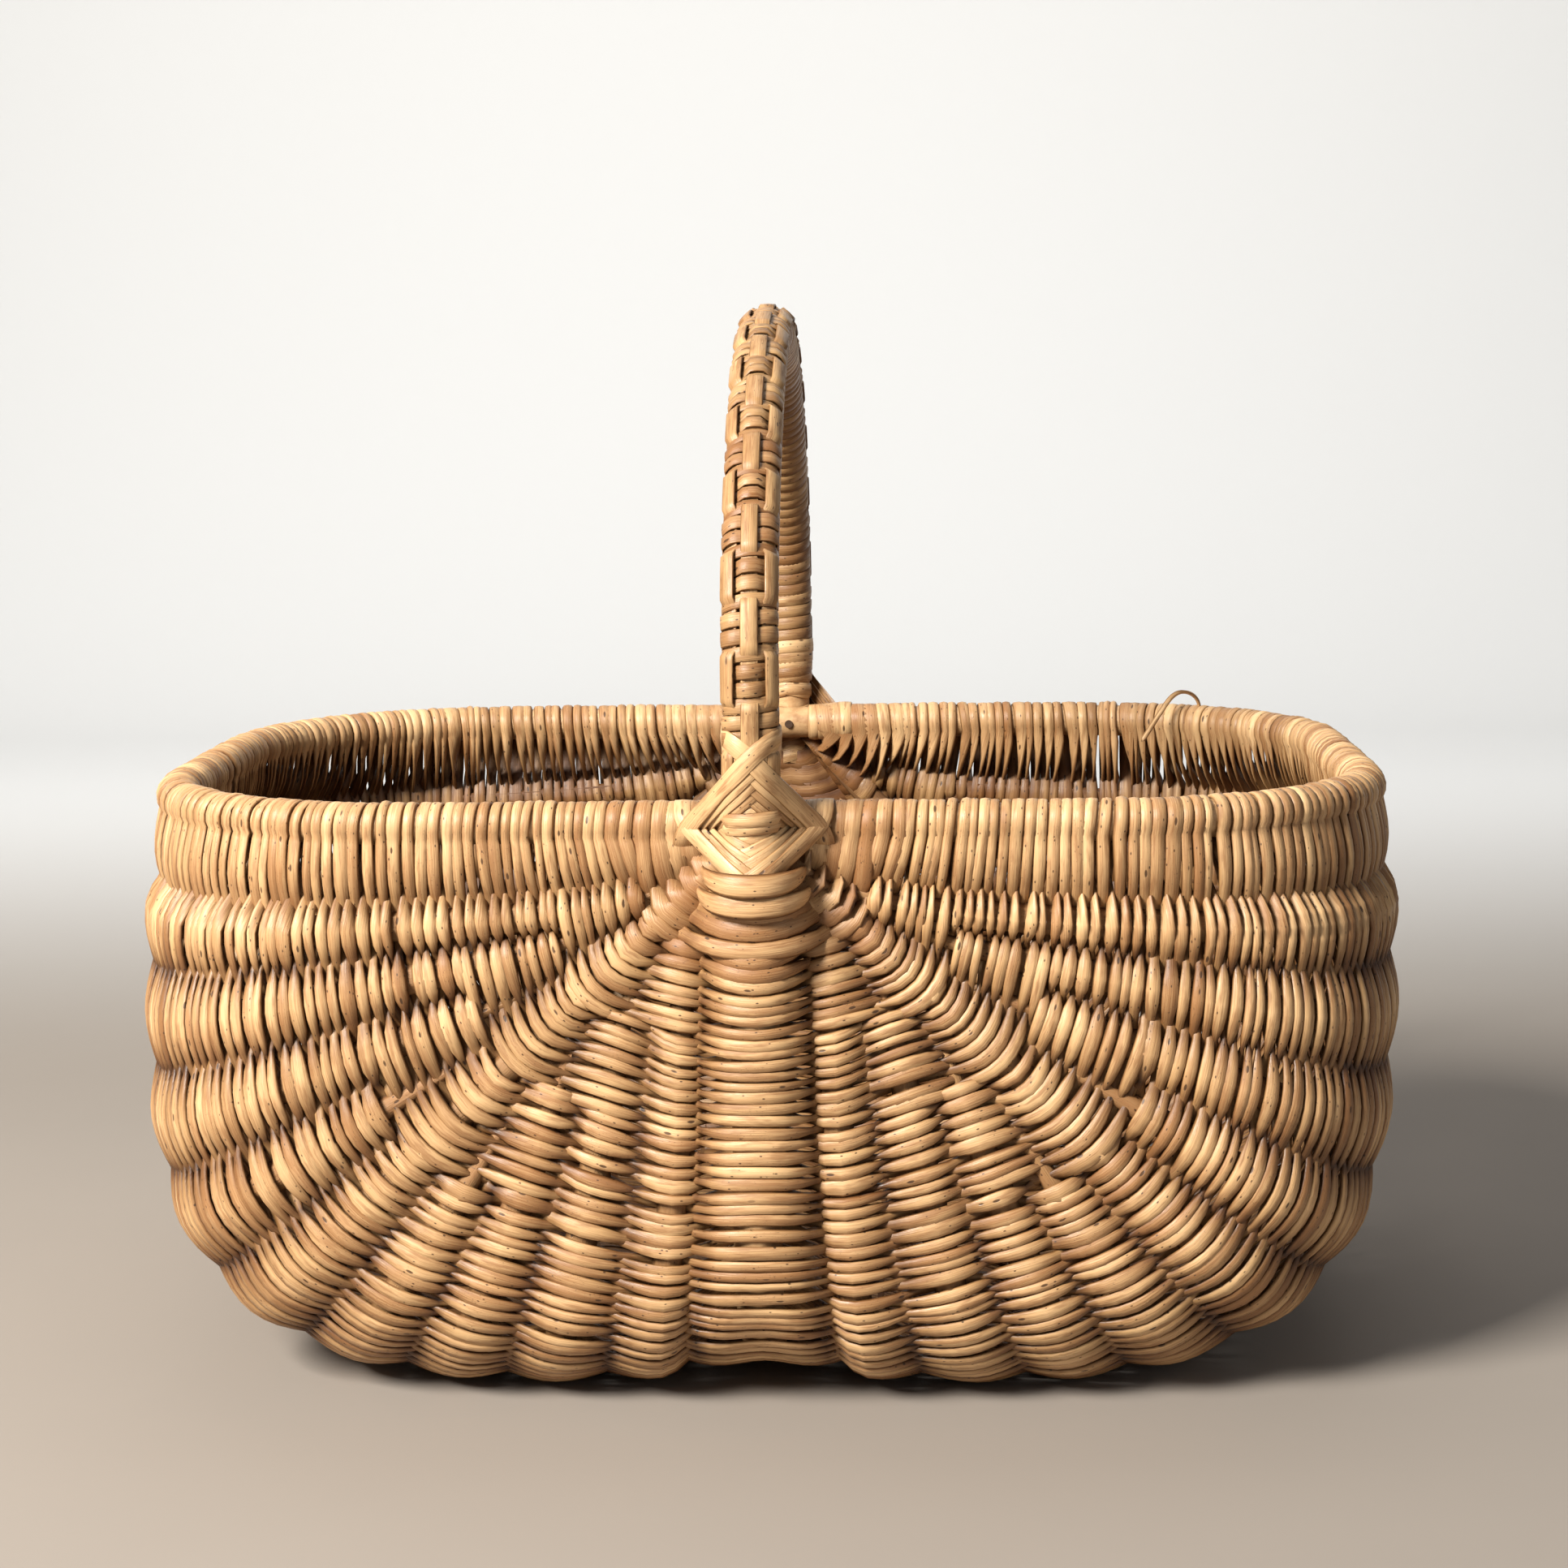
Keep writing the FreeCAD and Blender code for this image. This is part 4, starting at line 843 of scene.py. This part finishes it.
class BASKET_OT_eyes(bpy.types.Operator):
    """Lash the two eyes where the handle hoop crosses the rim"""

    bl_idname = "basket.eyes"
    bl_label = "Lash the Eyes"

    def execute(self, context):
        scene = context.scene
        weave, lash = scene.basket_weave, scene.basket_lashing
        material = willow("willow_lashing", scene.basket_colours, rough=0.42)
        draw = np.random.default_rng(weave.seed + 20)
        for facing, name in ((1, "front_eye"), (-1, "back_eye")):
            gathered = Skeins()
            # the skeins of an eye get strong painted shade at their edges and undersides
            for ring in range(lash.eye_rings):
                for quarter, (above, right) in enumerate(((1, 1), (-1, 1), (-1, -1), (1, -1))):
                    path, face = eye_strip(above, right, ring, lash, facing)
                    path = path + face * 0.00025 * (quarter % 2)
                    width = pointed(lash.eye_skein * draw.normal(1, 0.05), len(path))
                    brown = np.clip(draw.normal(0.22, 0.1), 0, 1)
                    light = draw.normal(1.0, 0.05)
                    red = np.clip(draw.normal(0.08, 0.06), 0, 1)
                    gathered.add(path, None, face, width, EYE_THICK, (brown, light, red),
                                 40 + ring * 4.1 + quarter, section=FLAT, edge_shade=0.9)
            for low, reach, over, broad in FLOATS:
                path, face, share = float_under_eye(low, reach, over, facing)
                width = pointed(broad * (0.35 + 0.65 * share ** 0.6), len(path))
                tint = (0.42, 0.95, 0.2)
                gathered.add(path, None, face, width, FLOAT_THICK, tint, 31 + 700 * low, edge_shade=0.9)
            for low, bow in HEART_LENGTHS:
                path, face = heart_length(low, bow, facing)
                width = pointed(HEART_WIDTH, len(path))
                gathered.add(path, None, face, width, EYE_THICK, (0.3, 1.0, 0.1), 37 + 900 * low,
                             section=FLAT, edge_shade=0.9)
            gathered.piece(name, material, "lashing_skein", [name + "_lashing"])
        return {"FINISHED"}


# ---- handle

HANDLE_FOOT = 0.0205    # from an eye's middle to the first turn of the wrap
STRIP_THICK = 0.00115
STRIP_OVERRUN = 0.006   # a strip's hidden end past the wrap
UNDER_WRAP = 0.0004     # gap from the rod to a strip where the wrap covers it
OVER_WRAP = 0.0019      # further out where it lies on the wrap
WRAP_THICK = 0.0008
WRAP_GAP = 0.0006       # gap from the rod to the wrap
WRAP_LIFT = 0.0017      # further out where it passes over a strip
WRAP_TUCK = 0.0006      # how deep the start of a new length is hidden
WRAP_PIECES = 2


def handle_line(spacing=0.0008):
    """Points, outward directions and lengths along the handle, from the front eye to the back one."""
    leg, shoulder = 0.050, 0.085
    side, rise = HOOP_SIDE, HANDLE_RISE
    # the crown's arc meets both shoulders smoothly and has its top at the handle's rise
    inset = side - shoulder
    drop = rise - leg
    crown = (inset ** 2 + drop ** 2 - shoulder ** 2) / (2 * (drop - shoulder))
    centre = rise - crown
    lean = math.atan2(inset, leg - centre)
    points = []
    for z in np.arange(0.0, leg, spacing):
        points.append((-side, z))
    for angle in np.arange(0, math.pi / 2 - lean, spacing / shoulder):
        points.append((-inset - shoulder * math.cos(angle), leg + shoulder * math.sin(angle)))
    for angle in np.arange(-lean, 0, spacing / crown):
        points.append((crown * math.sin(angle), centre + crown * math.cos(angle)))
    half = np.array(points)
    whole = np.concatenate([half, [[0.0, rise]], half[::-1] * np.array([-1, 1])])
    path = np.column_stack([np.zeros(len(whole)), whole[:, 0], whole[:, 1] + RIM_HEIGHT])
    ahead = units(np.gradient(path, axis=0))
    outward = np.cross(ahead, np.array([1.0, 0, 0]))
    outward *= np.sign(outward[len(outward) // 2, 2])
    return path, outward, lengths_along(path)


def on_handle(places, angles, radii):
    """Points round the handle rod at lengths, angles from the outward side, and radii."""
    path, outward, along = handle_line()
    centre = np.column_stack([np.interp(places, along, path[:, i]) for i in range(3)])
    out = units(np.column_stack([np.interp(places, along, outward[:, i]) for i in range(3)]))
    side = np.array([1.0, 0, 0])
    radial = out * np.cos(angles)[:, None] + side * np.sin(angles)[:, None]
    return centre + radial * np.broadcast_to(radii, len(places))[:, None], radial


def handle_length():
    return handle_line()[2][-1]


def centre_under(lash, turn):
    """1 where the wrap passes over the centre strip, 0 where it passes over the side strips."""
    block = turn / lash.wraps_a_block
    wave = np.abs((block % 2) - 1)
    return ease(np.clip((wave - 0.5) * 2.2 * lash.wraps_a_block + 0.5, 0, 1))


class BASKET_OT_strips(bpy.types.Operator):
    """Lay the three strips along the outside of the handle"""

    bl_idname = "basket.strips"
    bl_label = "Lay the Handle Strips"

    def execute(self, context):
        scene = context.scene
        lash = scene.basket_lashing
        material = willow("willow_strip", scene.basket_colours, rough=0.44, spots=0.8)
        draw = np.random.default_rng(scene.basket_weave.seed + 30)
        for hand, name in ((-1, "strip_left"), (0, "strip_centre"), (1, "strip_right")):
            gathered = Skeins()
            foot = HANDLE_FOOT - STRIP_OVERRUN
            places = np.arange(foot, handle_length() - foot, 0.0012)
            under = centre_under(lash, (places - HANDLE_FOOT) / lash.wrap_pitch)
            if hand:
                under = 1 - under
            radii = HOOP_ROD + UNDER_WRAP + OVER_WRAP * (1 - under)
            angles = hand * lash.strip_spread + 0.02 * np.sin(places * 31 + hand)
            path, radial = on_handle(places, angles, radii)
            wide = np.cross(np.gradient(path, axis=0), radial)
            width = pointed(lash.strip_width * (1 + 0.04 * np.sin(places * 47 + 2 * hand)), len(places))
            tint = (draw.uniform(0.2, 0.38), 0.76, 0.03)
            gathered.add(path, wide, radial, width, STRIP_THICK, tint, 80 + hand * 3.3, section=FLAT)
            gathered.piece(name, material, "handle_strip", ["handle_" + name])
        return {"FINISHED"}


class BASKET_OT_wrap(bpy.types.Operator):
    """Wrap the handle with flat skein, over and under its strips"""

    bl_idname = "basket.wrap"
    bl_label = "Wrap the Handle"

    def execute(self, context):
        scene = context.scene
        lash = scene.basket_lashing
        material = willow("willow_wrap", scene.basket_colours, rough=0.42)
        draw = np.random.default_rng(scene.basket_weave.seed + 40)
        turns = (handle_length() - 2 * HANDLE_FOOT) / lash.wrap_pitch
        steps = 30  # points a turn
        turn = np.arange(0, turns, 1 / steps)
        angles = 2 * math.pi * turn + math.pi
        stray = draw.normal(0, 0.00018, int(turns) + 3)
        strayed = np.interp(turn, np.arange(len(stray)), stray)
        places = HANDLE_FOOT + turn * lash.wrap_pitch + strayed
        around = np.abs((angles + math.pi) % (2 * math.pi) - math.pi)
        half = math.radians(20)
        over_centre = ease(np.clip((half + 0.16 - around) / 0.28, 0, 1))
        over_side = ease(np.clip((half + 0.16 - np.abs(around - lash.strip_spread)) / 0.28, 0, 1))
        # a turn changes over behind the rod, so each turn belongs to one block
        under = centre_under(lash, np.floor(turn) + 0.5)
        raised = over_centre * under + over_side * (1 - under)
        path, radial = on_handle(places, angles, HOOP_ROD + WRAP_GAP + WRAP_LIFT * raised)
        wide = np.cross(np.gradient(path, axis=0), radial)
        share = int(math.ceil(len(path) / WRAP_PIECES))
        for part in range(WRAP_PIECES):
            gathered = Skeins()
            start = part * share
            run_end = min(start + share + 1, len(path))
            while start < run_end - 2:
                size = int(draw.uniform(7, 16) * steps)
                stop = start + size if run_end - start - size > 3 * steps else run_end
                pick = slice(start, min(stop + steps // 3, run_end))
                count = len(path[pick])
                width = pointed(lash.wrap_pitch * 0.985 * (1 + 0.05 * np.sin(turn[pick] * 1.7)), count)
                lift = np.zeros(count)
                lift[: steps // 3] = -WRAP_TUCK
                tint = np.tile((np.clip(draw.normal(0.42, 0.16), 0, 1), draw.normal(0.72, 0.05),
                                np.clip(draw.exponential(0.1), 0, 0.5)), (count, 1))
                tint[:, 0] += strayed[pick] * 500
                line = path[pick] + radial[pick] * lift[:, None]
                # painted shade at the wrap's edges and underside, lighter than on the eyes
                gathered.add(line, wide[pick], radial[pick], width, WRAP_THICK, tint, 120 + start * 0.01,
                             section=FLAT, start=turn[start] * 0.06, edge_shade=0.6)
                start = stop
            gathered.piece(f"handle_wrap_{part + 1}", material, "handle_skein", ["handle_wrap"])
        return {"FINISHED"}


# ---- the frame

TIP_LENGTH = 0.055

class BASKET_OT_ribs(bpy.types.Operator):
    """Bend the cleft ribs into the walls, with whittled tips at both eyes"""

    bl_idname = "basket.ribs"
    bl_label = "Bend the Ribs"

    def execute(self, context):
        scene = context.scene
        colours = scene.basket_colours
        material = willow("cleft_rib", colours, rough=0.6, relief=0.0004, pale=colours.lath)
        draw = np.random.default_rng(scene.basket_weave.seed + 50)
        for hand, side in ((-1, "left"), (1, "right")):
            for number, stake in enumerate(rib_stakes(hand, 0.0), 1):
                first = stake.start - 0.003
                half = np.linspace(first, stake.length, 110)
                path, face = (np.array(rows) for rows in zip(*(stake.place(s) for s in half)))
                mirror = np.array([1, -1, 1])
                path = np.concatenate([path, (path[:-1] * mirror)[::-1]])
                face = np.concatenate([face, (face[:-1] * mirror)[::-1]])
                run = np.concatenate([half, half[:-1][::-1]]) - first
                full = ease(np.clip(run / TIP_LENGTH, 0, 1))
                width = pointed(0.005 + 0.007 * full, len(path))
                depth = 0.003 + 0.0036 * full
                path = path - face * (depth / 2)[:, None]
                tint = (draw.uniform(0.2, 0.6), draw.uniform(0.8, 0.95), 0.05)
                gathered = Skeins()
                gathered.add(path, None, face, width, depth, tint, 300 + 7.7 * number * hand, section=LATH)
                gathered.piece(f"{side}_lath_{number}", material, "split_rib", [f"{side}_rib_{number}"])
        return {"FINISHED"}


class BASKET_OT_frame_finish(bpy.types.Operator):
    """Give the two rods and the nails their finish"""

    bl_idname = "basket.frame_finish"
    bl_label = "Finish the Frame"

    def execute(self, context):
        colours = context.scene.basket_colours
        rod = solid_wood("peeled_rod", colours.straw, colours.tan, colours.soil, rough=0.5, scale=0.7)
        rust = solid_wood("rusty_nail", colours.rust, colours.soil, (0.02, 0.01, 0.006), rough=0.7, scale=4)
        for name in ("rim_hoop", "handle_hoop", "front_rim_nail", "back_rim_nail"):
            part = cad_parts[name]
            part.data.materials.clear()
            part.data.materials.append(rust if "nail" in name else rod)
        return {"FINISHED"}


class BASKET_OT_loose_end(bpy.types.Operator):
    """Let one stiff skein end stand up from the back rim"""

    bl_idname = "basket.loose_end"
    bl_label = "Leave a Loose End"

    def execute(self, context):
        scene = context.scene
        low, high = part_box("loose_weaver_end")
        material = willow("willow_loose", scene.basket_colours, rough=0.5, spots=0.3)
        knots = np.array([
            (high.x - 0.0010, high.y - 0.0018, low.z - 0.005),
            (high.x - 0.0014, high.y - 0.0020, low.z + 0.002),
            (high.x - 0.0050, high.y - 0.0026, high.z - 0.0072),
            (high.x - 0.0100, high.y - 0.0036, high.z - 0.0058),
            (high.x - 0.0150, high.y - 0.0062, high.z - 0.0082),
            (high.x - 0.0290, high.y - 0.0160, low.z - 0.0150),
        ])
        lengths = lengths_along(knots)
        run = np.linspace(0, lengths[-1], 36)
        path = softened(np.column_stack([np.interp(run, lengths, knots[:, i]) for i in range(3)]), 6)
        share = ease(np.clip(1.8 * run / run[-1] - 0.3, 0, 1))[:, None]
        wide = np.array([0.1, 1.0, 0.1]) * (1 - share) + np.array([0.53, 0.1, -0.85]) * share
        face = np.cross(np.gradient(path, axis=0), wide)
        width = pointed(0.0031 - 0.0006 * share[:, 0], len(path))
        gathered = Skeins()
        gathered.add(path, wide, face, width, 0.0014, (0.1, 1.05, 0.0), 200)
        gathered.piece("loose_end", material, "weave", ["loose_weaver_end"])
        return {"FINISHED"}


# ---- studio

FLOOR_HALF = (3.5, 2.4)
FLOOR_BACK = 1.9   # where the floor begins to curve up
COVE = 0.8         # radius of that curve
WALL_RISE = 2.2    # height of the backdrop above it

class BASKET_OT_studio(bpy.types.Operator):
    """Set the pale floor, the soft lights and the camera"""

    bl_idname = "basket.studio"
    bl_label = "Set the Studio"

    def execute(self, context):
        scene = context.scene
        studio, colours = scene.basket_studio, scene.basket_colours
        bm = bmesh.new()
        bmesh.ops.create_grid(bm, x_segments=1, y_segments=1, size=1)
        bmesh.ops.scale(bm, vec=(*FLOOR_HALF, 1), verts=bm.verts[:])
        bmesh.ops.translate(bm, vec=(0, FLOOR_BACK - FLOOR_HALF[1], 0), verts=bm.verts[:])
        back = [e for e in bm.edges if all(v.co.y > 0.95 * FLOOR_BACK for v in e.verts)]
        bmesh.ops.spin(
            bm, geom=back + [v for e in back for v in e.verts], cent=(0, FLOOR_BACK, COVE), axis=(1, 0, 0),
            angle=math.radians(90), steps=24, use_duplicate=False,
        )
        top = [e for e in bm.edges if all(v.co.z > 0.99 * COVE for v in e.verts) and len(e.link_faces) == 1]
        raised = bmesh.ops.extrude_edge_only(bm, edges=top)
        bmesh.ops.translate(
            bm, vec=(0, 0, WALL_RISE), verts=[v for v in raised["geom"] if isinstance(v, bmesh.types.BMVert)]
        )
        bmesh.ops.recalc_face_normals(bm, faces=bm.faces[:])
        for face in bm.faces:
            face.smooth = True
        mesh = bpy.data.meshes.new("studio_floor")
        bm.to_mesh(mesh)
        bm.free()
        floor = bpy.data.objects.new("studio_floor", mesh)
        scene.collection.objects.link(floor)
        material, tree = new_material("pale_floor")
        place = node(tree, "ShaderNodeTexCoord").outputs["Object"]
        cloud = grain(tree, place, (6, 6, 6), 3)
        pale = colour4(colours.floor)
        colour = mixed(tree, cloud, pale, tuple(c * 0.94 for c in colours.floor) + (1,))
        back = node(tree, "ShaderNodeSeparateXYZ", {0: place}).outputs[1]
        colour = mixed(tree, spread(tree, back, 0.35, 1.6), colour, colour4(colours.wall))
        shader = node(tree, "ShaderNodeBsdfPrincipled", {"Base Color": colour, "Roughness": 0.85})
        node(tree, "ShaderNodeOutputMaterial", {"Surface": shader.outputs[0]})
        mesh.materials.append(material)

        for name, stand, aim, size, power, tone in (
            ("key_light", (-1.25, -1.35, 1.5), (0, 0, 0.15), 0.75, studio.key_power, (1.0, 0.97, 0.92)),
            ("fill_light", (1.7, -1.3, 0.9), (0, 0, 0.15), 1.6, studio.fill_power, (0.93, 0.96, 1.0)),
            ("wall_light", (0.0, 0.9, 2.6), (0, 2.4, 0.6), 1.8, studio.wall_power, (1.0, 1.0, 1.0)),
        ):
            lamp = bpy.data.lights.new(name, "AREA")
            lamp.size, lamp.energy, lamp.color = size, power, tone
            light = bpy.data.objects.new(name, lamp)
            scene.collection.objects.link(light)
            light.location = stand
            light.rotation_mode = "QUATERNION"
            light.rotation_quaternion = (Vector(aim) - Vector(stand)).to_track_quat("-Z", "Y")
        world = bpy.data.worlds.new("soft_room")
        scene.world = world
        world.use_nodes = True
        back_light = world.node_tree.nodes["Background"]
        back_light.inputs["Color"].default_value = (0.92, 0.95, 1.0, 1)
        back_light.inputs["Strength"].default_value = studio.sky
        scene.view_settings.view_transform = "Standard"

        lens = bpy.data.cameras.new("camera")
        lens.sensor_width, lens.lens = 36.0, studio.lens
        lens.clip_start, lens.clip_end = 0.05, 20
        camera = bpy.data.objects.new("camera", lens)
        scene.collection.objects.link(camera)
        yaw, dip, roll = studio.yaw, studio.dip, studio.roll
        ahead = Vector((math.sin(yaw) * math.cos(dip), math.cos(yaw) * math.cos(dip), -math.sin(dip)))
        right = Vector((math.cos(yaw), -math.sin(yaw), 0))
        up = right.cross(ahead)
        across = right * math.cos(roll) - up * math.sin(roll)
        upward = right * math.sin(roll) + up * math.cos(roll)
        turned = Matrix((across, upward, -ahead)).transposed().to_4x4()
        camera.matrix_world = Matrix.Translation(Vector(studio.camera_place)) @ turned
        scene.camera = camera
        return {"FINISHED"}


class BASKET_PT_panel(bpy.types.Panel):
    bl_label = "Market Basket"
    bl_idname = "BASKET_PT_panel"
    bl_space_type = "VIEW_3D"
    bl_region_type = "UI"
    bl_category = "Basket"

    def draw(self, context):
        layout, scene = self.layout, context.scene
        for title, group in (("Weave", scene.basket_weave), ("Lashing", scene.basket_lashing),
                             ("Colours", scene.basket_colours), ("Studio", scene.basket_studio)):
            box = layout.box()
            box.label(text=title)
            for name in group.__annotations__:
                box.prop(group, name)
        for operator in OPERATORS:
            layout.operator(operator.bl_idname)


OPERATORS = (BASKET_OT_frame_finish, BASKET_OT_ribs, BASKET_OT_weave, BASKET_OT_eyes, BASKET_OT_strips,
             BASKET_OT_wrap, BASKET_OT_loose_end, BASKET_OT_studio)
GROUPS = {
    "basket_weave": BasketWeave,
    "basket_lashing": BasketLashing,
    "basket_colours": BasketColours,
    "basket_studio": BasketStudio,
}


def register():
    for kind in (*GROUPS.values(), *OPERATORS, BASKET_PT_panel):
        bpy.utils.register_class(kind)
    for name, group in GROUPS.items():
        setattr(bpy.types.Scene, name, bpy.props.PointerProperty(type=group))


def unregister():
    for name in GROUPS:
        delattr(bpy.types.Scene, name)
    for kind in reversed((*GROUPS.values(), *OPERATORS, BASKET_PT_panel)):
        bpy.utils.unregister_class(kind)


def main():
    register()
    bpy.ops.basket.frame_finish()
    bpy.ops.basket.ribs()
    bpy.ops.basket.weave()
    bpy.ops.basket.eyes()
    bpy.ops.basket.strips()
    bpy.ops.basket.wrap()
    bpy.ops.basket.loose_end()
    bpy.ops.basket.studio()


if __name__ == "__main__":
    main()
